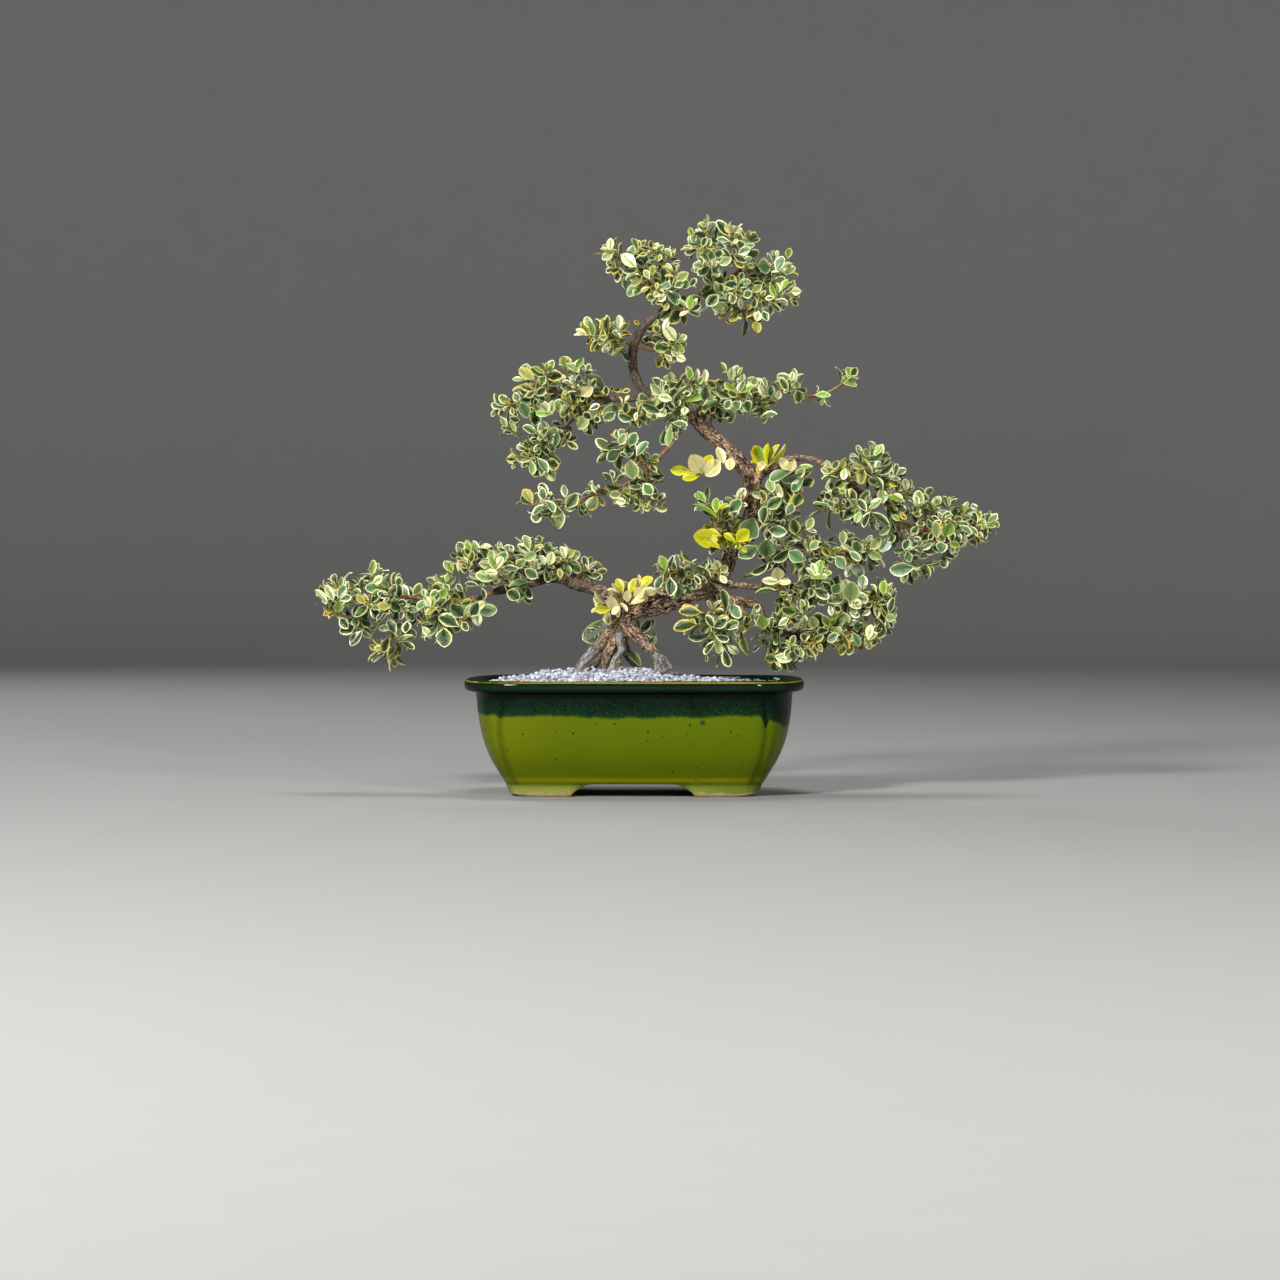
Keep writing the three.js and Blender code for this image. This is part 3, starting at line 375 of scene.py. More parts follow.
# Each leafy spray: the finish of its leaves, the point where it leaves the wood, its stems, and its
# shoots. A shoot ends at x, y, z, and its size is 0 for a small one to 2 for a large one.
SPRAYS = {
    "crown_right": ("variegated", (55,0,439), (((61,1,445), (77,3,453), (95,6,461), (115,9,462)),
     ((68,1,449), (68,0,468), (65,3,488))),
    ((61,3,502,2), (81,-26,494,1), (97,23,493,2), (49,17,485,1), (67,-38,473,2), (95,-20,472,1),
     (127,-14,470,2), (139,23,463,1), (77,-35,444,2), (125,-32,445,1), (143,12,441,2),
     (79,3,429,2), (106,-12,419,2), (102,49,466,1), (77,46,477,1), (125,35,434,1), (111,-44,437,0),
     (88,32,438,0), (58,38,467,0), (91,-49,448,0), (108,14,471,0), (120,-9,436,0), (72,20,496,0))),
    "crown_left": ("variegated", (30,-5,428), (((27,-6,435), (18,-7,450), (5,-3,463),
     (-9,0,471)),),
    ((-25,6,484,2), (-19,-17,465,1), (-5,17,477,1), (5,-6,487,2), (18,-23,480,1), (32,9,479,1),
     (2,-20,450,2), (16,26,464,1), (32,-32,451,2), (44,9,455,1), (48,-29,431,2), (8,44,473,1),
     (29,23,440,1), (21,-29,442,0), (-12,20,461,0), (24,-9,464,0), (-16,-14,475,0))),
    "leader_left": ("variegated", (-1,2,392), (((-7,1,399), (-20,0,406), (-32,0,409)),),
    ((-45,0,412,2), (-29,-20,410,1), (-13,12,416,1), (-35,12,400,1), (-15,-12,393,1),
     (-25,26,418,0), (-22,-26,400,0))),
    "leader_right": ("variegated", (0,1,397), (((8,0,394), (19,0,392), (30,1,396)),),
    ((26,6,413,1), (36,-14,402,2), (41,6,390,1), (30,-14,384,1), (20,20,404,0), (33,23,398,0))),
    "mid_left_upper": ("variegated", (-33,22,350), (((-40,26,351), (-60,38,355), (-80,29,356),
     (-101,23,349)),),
    ((-99,14,374,2), (-78,-6,377,1), (-58,20,382,2), (-44,44,378,1), (-88,-14,360,1),
     (-72,61,366,1), (-41,6,363,2), (-124,20,342,2), (-107,46,348,1), (-86,-12,343,1),
     (-62,-3,349,2), (-31,12,338,1), (-53,64,344,1), (-55,-6,365,0), (-114,6,345,0),
     (-21,23,340,0), (-78,35,371,0), (-98,49,359,0))),
    "mid_left_lower": ("variegated", (-31,20,348), (((-40,20,342), (-55,26,331), (-72,22,317),
     (-86,17,304)),),
    ((-113,14,325,1), (-76,-6,320,2), (-48,6,330,1), (-99,12,307,2), (-85,41,307,1),
     (-108,3,297,1), (-92,20,290,1), (-80,-6,289,2), (-37,44,337,1), (-68,49,328,0),
     (-96,-12,296,0), (-61,3,313,0), (-87,-14,321,0))),
    "centre_pad_left": ("variegated", (31,-1,345), (((33,-12,349), (30,-29,351), (18,-29,349),
     (5,-26,342)), ((30,-29,351), (40,-23,360), (49,-12,364))),
    ((-7,-20,339,2), (3,-35,330,1), (15,-44,342,2), (20,-12,356,2), (33,-9,368,1), (28,-49,350,1),
     (43,-44,354,2), (51,6,369,1), (44,-38,334,1), (35,-29,318,1), (5,0,350,1), (27,23,364,1),
     (58,-32,361,0), (10,-12,334,0), (49,-38,347,0), (40,-35,325,0))),
    "centre_pad_right": ("variegated", (52,-6,333), (((58,-10,341), (69,-20,347), (88,-20,351),
     (109,-14,352), (123,-10,357)), ((109,-14,352), (134,-10,355), (157,-7,351), (171,-6,354),
     (184,-6,362))),
    ((64,-12,365,1), (61,-44,350,1), (74,-6,358,1), (87,-12,371,2), (105,-29,359,2),
     (121,-6,354,1), (91,-41,341,1), (78,-12,336,1), (108,-9,338,2), (120,-26,335,1),
     (95,17,364,1), (71,26,356,1), (131,-9,365,1), (142,3,368,2), (145,-14,351,1), (167,-9,349,1),
     (190,-6,372,2), (98,-44,350,0), (83,6,352,0), (114,9,363,0), (113,-29,345,0), (137,-20,360,0),
     (72,-38,345,0))),
    "droop": ("variegated", (31,-18,306), (((21,-20,295), (12,-29,284), (0,-26,276), (-16,-22,271),
     (-34,-17,266), (-51,-12,259), (-73,-7,255), (-91,-4,255)), ((12,-29,284), (4,-32,298),
     (-9,-29,308))),
    ((-17,-26,316,2), (-5,-41,313,1), (-24,-17,303,2), (6,-17,305,1), (16,-44,297,1),
     (-1,-46,288,1), (-18,-12,282,1), (-31,-6,265,1), (-12,-35,262,2), (2,-12,262,1),
     (12,-46,270,1), (24,-26,256,2), (-96,-3,265,2), (-80,-20,267,1), (-74,12,257,1),
     (-61,6,265,1), (-51,-23,256,2), (-67,-9,243,2), (-86,6,251,1), (10,-35,251,0),
     (-11,-12,302,0), (-39,-20,273,0), (10,-9,286,0), (-44,-3,255,0))),
    "cream_centre": ("cream", (87,-8,303), (((82,-14,298), (70,-28,292), (55,-30,288)),),
    ((56,-26,290,0), (77,-25,297,0))),
    "yellow_fork": ("yellow", (107,-3,282), (((109,-10,289), (113,-19,295)),),
    ((116,-20,301,2), (108,-26,297,0))),
    "fork_front": ("variegated", (127,-4,290), (((129,-10,284), (132,-20,277)),),
    ((141,-26,286,2), (121,-26,271,2), (146,-14,270,1), (134,-17,262,1), (113,-29,262,0))),
    "right_upper": ("variegated", (188,3,276), (((191,0,283), (198,-3,290), (210,-3,294),
     (221,0,288)),),
    ((175,-20,286,2), (191,20,281,1), (201,-6,303,2), (217,12,304,1), (204,-29,293,2),
     (223,-9,289,1), (234,-12,274,2), (218,-29,272,1), (218,38,287,1), (199,29,297,0),
     (184,6,293,0), (229,20,283,0), (209,-20,279,0))),
    "right_lower": ("variegated", (198,3,268), (((195,0,262), (189,-4,256), (180,-6,257)),),
    ((171,-17,268,1), (180,14,267,1), (161,-6,254,2), (200,-26,255,2), (197,-6,242,1),
     (212,-17,243,1), (181,-23,251,0), (207,17,245,0), (189,12,249,0))),
    "right_end": ("variegated", (217,2,260), (((222,0,251), (231,-3,238), (245,-6,233),
     (265,-7,236), (284,-6,239), (302,-3,241)), ((231,-3,238), (237,0,222), (246,1,208))),
    ((230,-20,259,1), (243,-9,269,2), (258,12,268,1), (249,-32,257,1), (265,-14,258,2),
     (279,14,261,1), (290,-14,254,1), (305,12,248,1), (318,-3,242,2), (224,-20,230,2),
     (240,23,245,1), (256,38,248,1), (264,-35,235,1), (279,-26,235,2), (270,3,218,1),
     (295,26,232,1), (284,-20,220,2), (305,3,223,1), (279,12,209,1), (241,-17,217,1),
     (266,0,203,2), (251,-6,197,1), (235,-17,199,2), (257,23,215,0), (300,-20,235,0),
     (260,20,226,0), (272,-35,245,0), (310,6,233,0), (244,-35,228,0), (281,38,249,0))),
    "yellow_trunk": ("yellow", (92,8,229), (((88,-4,230), (79,-20,235), (70,-26,238)),),
    ((72,-32,252,2), (63,-35,227,2), (96,-29,229,1), (79,-38,226,0))),
    "trunk_left": ("variegated", (104,3,260), (((96,-4,258), (86,-12,252), (77,-9,245)),),
    ((59,-17,263,2), (91,-20,261,1), (82,12,242,1), (74,-12,216,1), (87,-9,219,1),
     (100,-17,220,0))),
    "mid_upper": ("variegated", (127,12,229), (((131,10,237), (132,12,245)),),
    ((115,9,258,2), (126,-9,255,1), (116,-14,245,2), (127,-12,236,1), (143,23,239,1),
     (154,6,238,1), (138,29,253,1), (141,-6,229,0))),
    "mid_end": ("variegated", (154,15,216), (((163,14,213), (180,19,212), (202,16,214)),),
    ((158,6,223,1), (170,38,221,1), (184,12,228,2), (176,-9,216,1), (191,41,218,1), (198,6,219,1),
     (214,20,221,2), (217,0,216,1), (213,32,209,1), (193,-6,207,2), (183,20,202,1), (159,9,204,1),
     (205,0,224,0), (171,-6,208,0))),
    "mid_lower": ("variegated", (139,14,222), (((137,6,218), (131,1,214)),),
    ((116,-9,216,2), (131,-12,223,1), (131,9,207,1), (144,-9,209,2), (112,6,200,1),
     (121,-14,207,0))),
    "low_right_upper": ("variegated", (118,-3,180), (((127,-3,180), (145,-6,183), (164,-4,183),
     (185,0,178), (207,3,176)),),
    ((146,6,195,1), (162,-12,200,2), (167,20,192,1), (144,-23,178,1), (160,-29,186,1),
     (157,9,173,1), (168,32,176,1), (178,-14,184,1), (190,-26,178,2), (186,3,167,1),
     (193,29,169,1), (220,-9,184,2), (229,12,175,1), (216,-17,169,1), (229,0,164,2),
     (228,-6,154,1), (132,-20,168,1), (207,20,167,0), (172,-20,168,0), (203,-9,182,0),
     (135,-29,180,0), (219,14,158,0))),
    "yellow_low": ("yellow", (111,-5,182), (((114,-9,186), (120,-17,190)),),
    ((125,-20,192,2), (132,-26,186,0))),
    "low_right_lower": ("variegated", (136,0,141), (((146,0,141), (166,0,144), (186,0,145),
     (201,0,150)), ((146,0,141), (143,-1,131), (132,-3,123))),
    ((125,-20,157,2), (113,-26,150,2), (134,14,152,1), (149,-29,166,1), (150,-23,151,1),
     (162,12,152,1), (173,-20,153,2), (175,17,136,1), (187,-9,154,1), (200,14,150,2),
     (210,-12,145,1), (215,6,138,1), (197,14,134,1), (186,-23,135,1), (149,-17,131,2),
     (162,3,127,1), (145,12,121,1), (131,-12,118,2), (119,6,120,1), (219,17,149,1), (206,-9,135,0),
     (127,0,113,0), (137,-29,133,0), (159,-26,136,0), (181,26,144,0), (109,-14,136,0))),
    "trunk_end": ("variegated", (98,-8,169), (((95,-12,165), (99,-20,158)),),
    ((93,-23,162,1), (102,-17,149,1), (107,-26,161,0))),
    "over_trunk": ("variegated", (63,-18,185), (((59,-20,190), (51,-30,195), (39,-32,197)),),
    ((23,-29,204,2), (24,-38,187,1), (35,-46,182,2), (37,-14,205,1), (47,-35,206,1),
     (50,-46,192,1), (63,-35,200,2), (72,-14,204,1), (79,-26,196,1), (56,-41,189,0))),
    "front_rosette": ("variegated", (61,-10,177), (((65,-20,169), (68,-38,158), (70,-39,145)),),
    ((49,-49,160,2), (45,-41,149,1), (69,-58,154,2), (87,-49,149,2), (82,-38,170,1),
     (96,-38,136,1), (56,-38,139,1), (66,-49,132,1), (77,-32,130,1), (85,-38,122,1),
     (92,-44,164,0), (71,-49,167,0))),
    "left_end": ("variegated", (-124,2,178), (((-133,0,175), (-150,-6,171), (-167,-9,169),
     (-185,-9,171), (-203,-6,174), (-221,0,175), (-239,4,175), (-257,6,174)), ((-167,-9,169),
     (-173,-12,157)), ((-203,-6,174), (-210,-9,157), (-215,-9,136)), ((-239,4,175), (-247,4,160))),
    ((-281,6,176,2), (-268,0,189,2), (-256,-17,182,1), (-269,17,166,1), (-258,9,152,2),
     (-249,-3,139,1), (-240,17,146,1), (-232,0,200,2), (-244,17,189,1), (-225,-20,187,1),
     (-211,9,190,1), (-235,-26,172,2), (-217,-32,177,1), (-200,-26,165,2), (-197,14,177,1),
     (-214,-23,150,1), (-202,12,146,1), (-221,-6,136,1), (-200,-14,135,1), (-215,-9,116,2),
     (-183,-26,177,1), (-174,6,191,2), (-175,-32,168,1), (-187,12,160,1), (-155,-32,166,2),
     (-162,-26,150,2), (-170,-12,137,2), (-146,-6,147,1), (-139,-29,166,2), (-229,6,125,0),
     (-269,-9,160,0), (-235,32,162,0), (-164,-23,182,0), (-250,-23,171,0), (-183,6,143,0),
     (-214,29,171,0), (-161,17,162,0), (-222,-35,166,0), (-191,-12,152,0))),
    "left_inner": ("variegated", (-91,8,186), (((-95,8,193), (-106,10,199), (-121,7,203),
     (-137,4,205), (-151,1,205)), ((-106,10,199), (-83,14,206), (-67,17,209))),
    ((-162,0,202,2), (-150,-14,212,1), (-140,12,219,2), (-129,-14,212,1), (-123,-26,204,2),
     (-133,-17,191,1), (-115,20,210,1), (-107,-14,202,1), (-117,-20,192,1), (-102,-14,183,2),
     (-99,9,225,2), (-89,-9,218,1), (-89,-9,206,1), (-75,12,217,2), (-75,-6,205,1), (-61,20,215,1),
     (-56,3,208,2), (-65,0,194,1), (-104,44,206,1), (-131,44,206,1), (-76,46,206,1),
     (-84,29,224,0), (-146,26,203,0), (-119,-3,219,0), (-67,32,201,0), (-143,6,186,0),
     (-108,-6,215,0))),
    "cream_fork": ("cream", (-11,-3,168), (((-12,-14,171), (-7,-28,177), (4,-28,180)),),
    ((-31,-29,168,1), (-14,-23,185,1), (-4,-36,181,1), (0,-29,186,1), (11,-20,184,2))),
    "base_left": ("variegated", (-18,2,141), (((-26,12,142), (-30,23,143)),),
    ((-34,32,142,2), (-24,29,155,0))),
    "base_right": ("variegated", (-9,3,141), (((-1,13,142), (5,25,143)),),
    ((10,29,147,2), (15,17,135,0))),
    "back_cluster": ("variegated", (-56,4,186), (((-52,14,190), (-48,35,196), (-45,46,200)),),
    ((-43,58,204,2), (-54,61,197,1), (-34,55,196,1), (-41,44,188,0))),
}

# Leaves that stand out from the front, by spray and by kind. Each five numbers are one leaf: where
# it starts, as x and z, how far off its tip is, and its width. It grows at the front of its spray.
CHOSEN_LEAVES = {
    "crown_right": {
        "c": (84,489,0,14,4, 87,493,-7,6,8, 92,491,2,6,4, 87,483,4,4,4, 124,474,-4,3,5,
        85,422,1,7,3), "d": (60,479,4,9,6, 71,455,5,4,3, 83,490,-10,14,11, 85,471,-8,8,4,
        88,472,11,-4,5, 91,446,-11,-1,8, 123,435,-8,-1,5, 124,433,11,-2,4, 138,435,7,-4,5,
        118,432,10,-10,4, 113,423,5,-9,7), "e": (100,488,11,3,6, 99,419,7,11,8),
        "g": (68,468,1,9,8, 61,464,-3,8,4, 84,485,-12,2,6, 94,479,12,3,6, 91,474,11,5,8,
        125,458,6,14,9, 96,436,9,3,8), "l": (63,500,-6,4,4, 51,491,-2,8,6, 58,481,-11,2,4,
        111,464,4,10,7, 105,463,-6,2,5, 135,471,1,8,7, 89,440,-1,5,4, 124,435,-5,13,7,
        129,442,6,10,7), "m": (61,476,-6,-2,6, 70,479,-7,0,3, 88,436,-6,3,3, 82,424,-8,-5,4,
        91,423,-7,-7,8, 98,425,6,6,5, 107,416,1,-10,9), "o": (65,499,-4,-3,3, 51,481,-11,-1,5,
        97,491,-2,7,4, 101,493,7,3,3, 89,474,-2,5,4, 88,468,9,-5,6, 93,451,3,4,6, 78,440,-3,8,6),
        "p": (64,479,4,8,6, 75,464,10,5,8, 109,463,-6,6,6, 105,440,7,6,7, 139,445,3,3,2,
        127,432,8,-3,4, 83,429,-14,-1,11), "w": (61,500,4,11,4, 54,488,3,6,2, 61,462,-7,1,7,
        71,462,-1,7,6, 71,464,4,3,3, 88,492,3,6,8, 91,496,4,5,2, 100,492,0,7,7, 113,463,8,5,6,
        125,472,1,6,4, 130,462,9,4,8, 127,458,-7,0,3, 127,439,-2,10,5, 138,441,8,0,8,
        94,427,-1,9,6, 91,423,5,-4,6, 109,423,-2,-10,8),
    },
    "crown_left": {
        "c": (48,424,-8,-4,5), "d": (2,460,-12,0,5, 33,445,0,10,5, 49,425,10,4,6),
        "e": (-12,462,-9,-3,4, 5,456,-13,-4,6, 27,434,-8,-3,5), "g": (44,443,3,9,8,
        35,448,-11,-4,7, 36,445,8,4,7), "l": (17,456,-1,7,6, 22,468,2,6,4, 49,425,1,13,8),
        "m": (-16,478,-14,1,4, -17,460,-1,9,3, 7,453,-9,-6,6, 14,445,-8,-4,5, 34,459,-9,4,4,
        37,459,3,6,3, 35,454,-8,1,4, 30,431,-2,-7,5, 20,440,-7,0,3), "o": (12,475,-7,-2,4,
        6,479,-2,7,4, 16,479,-2,8,6, 34,467,7,2,4, 49,445,6,8,6), "p": (-18,477,-10,-7,8,
        14,452,-5,8,6, 33,473,-6,7,5, 32,476,5,3,3, 38,451,11,6,9, 20,443,1,6,4, 47,427,-8,7,4),
        "w": (-21,478,1,11,7, 2,463,-13,12,11, 17,479,5,5,4, 34,461,-6,4,4, 23,443,4,-3,2,
        29,441,6,6,2, 22,440,-5,-5,7, 28,438,-6,-5,7, 52,427,4,8,4),
    },
    "leader_left": {
        "c": (-39,403,-14,1,4), "d": (-30,409,-3,9,4, -14,408,-6,7,3), "e": (-23,401,0,20,8,
        -30,402,-2,11,5, -30,400,-8,-11,5), "g": (-12,407,9,6,4, -11,401,-8,6,5, -34,400,-3,-2,4),
        "m": (-29,409,2,10,3, -11,412,7,6,3, -11,402,10,2,2, -19,399,-6,-2,3, -7,394,-13,-8,2),
        "p": (-35,402,-4,15,7, -37,409,-6,11,8, -23,402,-7,-2,6), "w": (-41,403,-10,6,6,
        -13,409,0,12,7), "y": (-39,402,-6,14,4),
    },
    "leader_right": {
        "d": (31,394,-8,3,4), "e": (4,415,-5,3,4), "g": (7,413,4,8,4, 37,397,3,9,4),
        "l": (16,413,5,5,5, 30,391,-8,0,3), "m": (31,397,-6,11,5, 40,403,3,2,2, 10,397,-5,4,2),
        "o": (16,410,-5,0,6, 18,413,4,-7,8, 15,396,-2,8,5), "p": (27,387,6,-6,5),
        "w": (26,407,5,12,7, 37,399,-10,11,11, 33,391,4,-7,3, 37,385,8,-3,7), "y": (40,397,2,-6,2),
    },
    "mid_left_upper": {
        "c": (-47,351,11,9,11), "e": (-21,356,1,4,4), "g": (-20,344,-5,-17,12, -93,332,-6,12,11),
        "l": (-51,375,6,10,7, -73,335,-14,0,8), "m": (-88,365,-13,10,10), "o": (-85,351,8,7,8,
        -25,352,-1,9,6, -19,356,7,2,4, -12,355,8,2,5), "p": (-61,380,12,-7,8, -72,335,0,12,7,
        -68,337,3,9,7), "s": (-26,355,-20,14,15), "w": (-76,337,-7,7,8, -75,336,-3,10,7),
    },
    "mid_left_lower": {
        "g": (-85,296,9,-13,9, -68,320,-1,-14,7), "o": (-103,295,-10,0,4, -102,330,-9,1,7),
        "p": (-41,334,-9,-12,11, -90,295,-14,2,8, -91,295,2,-14,6, -120,334,6,-10,5,
        -105,320,-5,7,5),
    },
    "centre_pad_left": {
        "c": (-10,344,-3,6,3, -8,344,4,7,3), "d": (24,335,-17,7,10, 0,329,-14,4,8, -37,330,-8,6,8,
        -39,338,9,5,6, -30,332,-5,-6,7), "e": (-7,334,1,10,8), "g": (34,326,14,-2,7,
        37,349,14,10,4, -17,335,-9,-6,9, -15,337,-3,6,8), "l": (48,345,14,6,8, 49,364,1,9,7),
        "o": (4,329,4,16,4), "p": (33,325,-3,-20,8, 26,349,-11,11,9), "w": (32,363,0,8,8,
        45,340,0,-8,7, 34,346,-12,4,8, 55,364,1,10,4, 2,328,1,8,5),
    },
    "centre_pad_right": {
        "d": (62,345,1,12,10, 98,345,4,-11,10, 191,368,5,8,8), "g": (61,341,12,5,5, 91,352,6,11,7,
        89,345,2,-9,10, 85,346,-5,-9,8, 74,340,16,-8,7, 104,332,12,11,10, 111,331,15,4,7,
        161,354,0,6,3), "l": (81,371,-5,9,5, 91,368,4,8,4, 89,354,-10,7,7, 93,352,12,7,7,
        159,351,14,0,8, 184,362,12,-2,6, 186,363,0,6,5, 192,367,-5,9,7), "o": (72,357,-7,5,8,
        91,349,-8,4,7, 87,348,-16,6,7, 120,349,0,10,8, 135,355,-7,11,8, 145,345,-1,11,10,
        182,363,-2,10,4, 186,365,11,1,3), "p": (104,359,3,5,8, 143,357,0,6,7), "w": (62,362,1,11,7,
        86,365,-1,10,8, 95,362,0,7,6, 115,349,-5,11,7, 116,357,-1,10,4, 126,347,1,8,7,
        138,363,1,8,6),
    },
    "droop": {
        "d": (-78,258,-4,12,8, -13,300,16,-3,7), "g": (-79,255,-10,-9,7, -78,259,10,-10,7,
        9,273,9,-10,10, -3,306,5,11,10, 3,297,9,14,8), "m": (-89,256,-8,13,9),
        "o": (-59,252,10,13,11, -15,301,-14,1,6), "p": (-68,255,3,-22,11, 0,277,-1,15,13,
        -11,264,-10,-1,8, 19,252,11,-2,5, -12,307,6,10,8), "w": (-16,259,10,-2,7, -33,265,-4,9,5),
    },
    "cream_centre": {
        "c": (61,282,-10,16,16, 76,294,-12,-13,15, 79,291,-5,15,10, 85,296,-1,-12,9),
        "y": (49,285,-17,1,10, 58,281,-16,-3,10, 61,284,7,15,11),
    },
    "yellow_fork": {
        "c": (114,293,-4,-8,7), "l": (114,289,-5,18,8), "y": (115,288,-13,14,6, 116,289,11,20,8,
        117,289,1,20,5, 118,289,16,19,4),
    },
    "fork_front": {
        "c": (136,285,-9,10,9, 137,284,4,11,8), "d": (113,238,2,16,9), "e": (116,257,-5,11,7),
        "g": (144,273,-7,-7,8, 141,286,-23,-9,8, 155,284,-25,-10,11, 149,279,-10,-13,8),
        "l": (141,284,16,5,7), "o": (148,271,10,9,11, 146,265,-5,-12,11, 135,265,-1,-10,8,
        117,252,12,9,11), "p": (142,279,7,7,8, 118,277,3,-11,9), "w": (126,274,4,-13,7),
    },
    "right_upper": {
        "c": (186,286,4,-7,3, 227,264,9,-3,4), "d": (178,279,-14,-1,4, 201,287,10,-9,4,
        215,288,10,8,4, 215,281,12,9,8, 228,279,3,12,6, 207,282,18,-2,4), "g": (175,286,3,8,7,
        191,285,8,-10,4, 204,293,14,7,4, 212,286,3,8,4, 221,278,13,-1,5), "l": (210,298,8,9,7,
        221,263,16,-6,7, 233,241,-6,5,5), "m": (182,287,3,7,6, 171,281,10,6,3),
        "o": (199,290,-2,10,4, 218,268,-6,11,6, 234,247,5,-5,5), "p": (171,282,-7,5,5,
        205,297,-3,8,7), "w": (171,287,-2,7,6, 185,287,-2,-10,7, 208,303,-1,4,4, 202,294,7,-12,4,
        222,292,1,4,4, 233,267,7,11,7, 239,267,-1,11,7), "y": (230,271,-7,3,4),
    },
    "right_lower": {
        "c": (209,243,4,-5,3), "d": (172,259,-5,7,7, 204,249,-8,11,8, 207,249,-7,-14,6,
        208,248,17,-12,9), "g": (174,268,-6,-7,4, 172,254,-15,2,4, 175,252,-5,7,6),
        "l": (178,270,8,2,5, 186,265,-7,3,5, 198,249,-3,-10,7), "m": (189,262,2,8,4,
        195,259,-4,-11,4), "o": (185,255,-2,5,4, 179,247,-1,5,4), "p": (206,251,11,9,8),
        "w": (169,268,1,4,4, 179,257,-4,3,6, 206,257,-2,6,7),
    },
    "right_end": {
        "d": (301,238,-4,11,5), "g": (269,222,-1,-11,11, 284,237,12,-8,7, 295,236,7,-8,5,
        246,200,-22,-2,13), "l": (272,227,5,13,12, 286,218,-9,4,7, 307,235,-2,8,5),
        "p": (265,226,-1,14,10, 252,200,-8,-8,6, 225,236,-10,-7,7, 309,237,11,6,3, 308,236,9,0,4),
        "w": (287,218,5,11,5),
    },
    "yellow_trunk": {
        "l": (69,220,-11,14,9, 63,257,-7,10,7, 72,244,-20,14,7, 72,248,1,13,8),
        "y": (75,217,-13,12,11, 76,228,-12,4,7, 74,224,-20,2,17, 90,223,11,11,12, 89,222,-10,8,5,
        94,220,5,-7,4),
    },
    "trunk_left": {
        "d": (89,255,-13,-9,3, 77,223,-11,-12,7), "g": (84,249,11,11,11, 98,224,7,18,19,
        108,218,-15,-9,13), "o": (72,235,-4,7,7), "p": (82,242,-11,-8,8), "w": (77,245,10,3,7),
    },
    "mid_upper": {
        "g": (118,233,16,-3,11, 152,233,9,-2,4), "o": (143,229,-5,14,11), "p": (152,233,5,10,8),
    },
    "mid_end": {
        "g": (197,213,-1,10,11, 189,214,10,-8,7, 178,210,7,-12,10), "o": (172,210,-7,8,7),
        "p": (153,214,1,15,6, 155,215,7,9,8, 153,214,-4,9,5, 184,220,-1,12,8, 208,216,9,9,10,
        204,214,14,-6,7), "w": (193,214,-11,7,7),
    },
    "mid_lower": {
        "d": (137,216,-15,-11,9, 118,203,-15,-9,8), "g": (116,209,0,15,15, 136,214,13,-9,12),
        "o": (93,189,18,5,5),
    },
    "low_right_upper": {
        "d": (224,160,4,14,8), "g": (175,177,5,9,10), "l": (219,176,0,13,8, 162,191,1,16,10,
        163,192,11,4,6, 156,191,14,1,6), "o": (143,161,-14,2,11, 137,166,-7,5,7),
        "p": (213,178,-5,8,4, 222,178,5,9,4, 190,169,1,17,16, 221,156,10,0,8),
        "w": (160,193,-4,11,7, 159,192,-8,8,5, 190,163,-5,16,13),
    },
    "yellow_low": {
        "c": (127,189,-2,12,12, 126,187,12,0,7), "o": (124,180,-18,-2,7), "w": (127,187,-15,2,9),
    },
    "low_right_lower": {
        "d": (190,160,8,-3,6, 182,162,-6,3,7, 201,166,9,1,6), "e": (207,169,14,-12,3,
        209,173,-4,6,3), "g": (192,143,7,-12,8, 179,142,-9,-6,8), "l": (113,146,0,12,11,
        188,169,-2,4,4, 196,165,0,5,6), "m": (202,141,7,-13,5), "o": (124,120,-9,0,9,
        182,143,7,-15,4, 214,155,8,-14,5), "p": (159,147,-3,11,10, 127,149,9,7,7, 146,130,1,-9,5,
        153,129,7,-11,4, 184,161,5,-10,5, 201,158,7,4,5, 206,136,8,7,5), "w": (124,122,14,-4,10,
        124,117,5,-5,4, 206,136,3,14,8, 192,165,-1,5,5, 193,159,2,3,5, 180,169,0,11,3),
    },
    "trunk_end": {
        "o": (99,143,0,14,8),
    },
    "over_trunk": {
        "d": (31,197,4,14,5, 26,193,-6,-12,8, 32,192,1,-17,11, 53,194,5,-9,5, 58,201,10,-9,5),
        "l": (28,198,-3,12,8), "o": (52,204,-11,11,3), "p": (76,196,6,4,7), "w": (74,199,-2,9,8,
        76,193,5,-7,6),
    },
    "front_rosette": {
        "d": (65,140,-17,0,8, 71,148,-8,11,8, 71,148,11,8,9, 72,141,12,-4,7, 79,130,5,-17,8,
        71,136,-9,-12,7, 81,161,-3,21,7), "e": (60,161,-20,0,11, 56,151,-21,-4,10, 94,147,4,-25,8),
        "g": (85,169,8,-13,10), "l": (50,151,4,6,5, 55,151,-5,5,4), "o": (64,124,0,-6,3,
        80,147,12,6,9), "p": (72,139,4,-14,8), "w": (82,132,10,-7,8),
    },
    "left_end": {
        "d": (-260,155,9,-9,9, -247,148,-12,-5,11, -240,144,-12,-13,10, -199,153,0,-11,9,
        -209,142,-8,12,9, -206,135,13,-7,5, -149,157,-12,12,13, -153,148,-19,9,12,
        -167,147,1,-19,15, -150,152,6,-8,7, -143,157,9,13,11), "e": (-215,139,-6,-14,9),
        "g": (-260,173,7,11,8, -258,171,10,4,7), "l": (-260,161,2,10,9, -215,183,-5,6,7,
        -177,164,2,10,6, -183,174,-1,7,4, -169,173,5,8,8, -165,187,2,8,5), "m": (-264,161,-11,3,5,
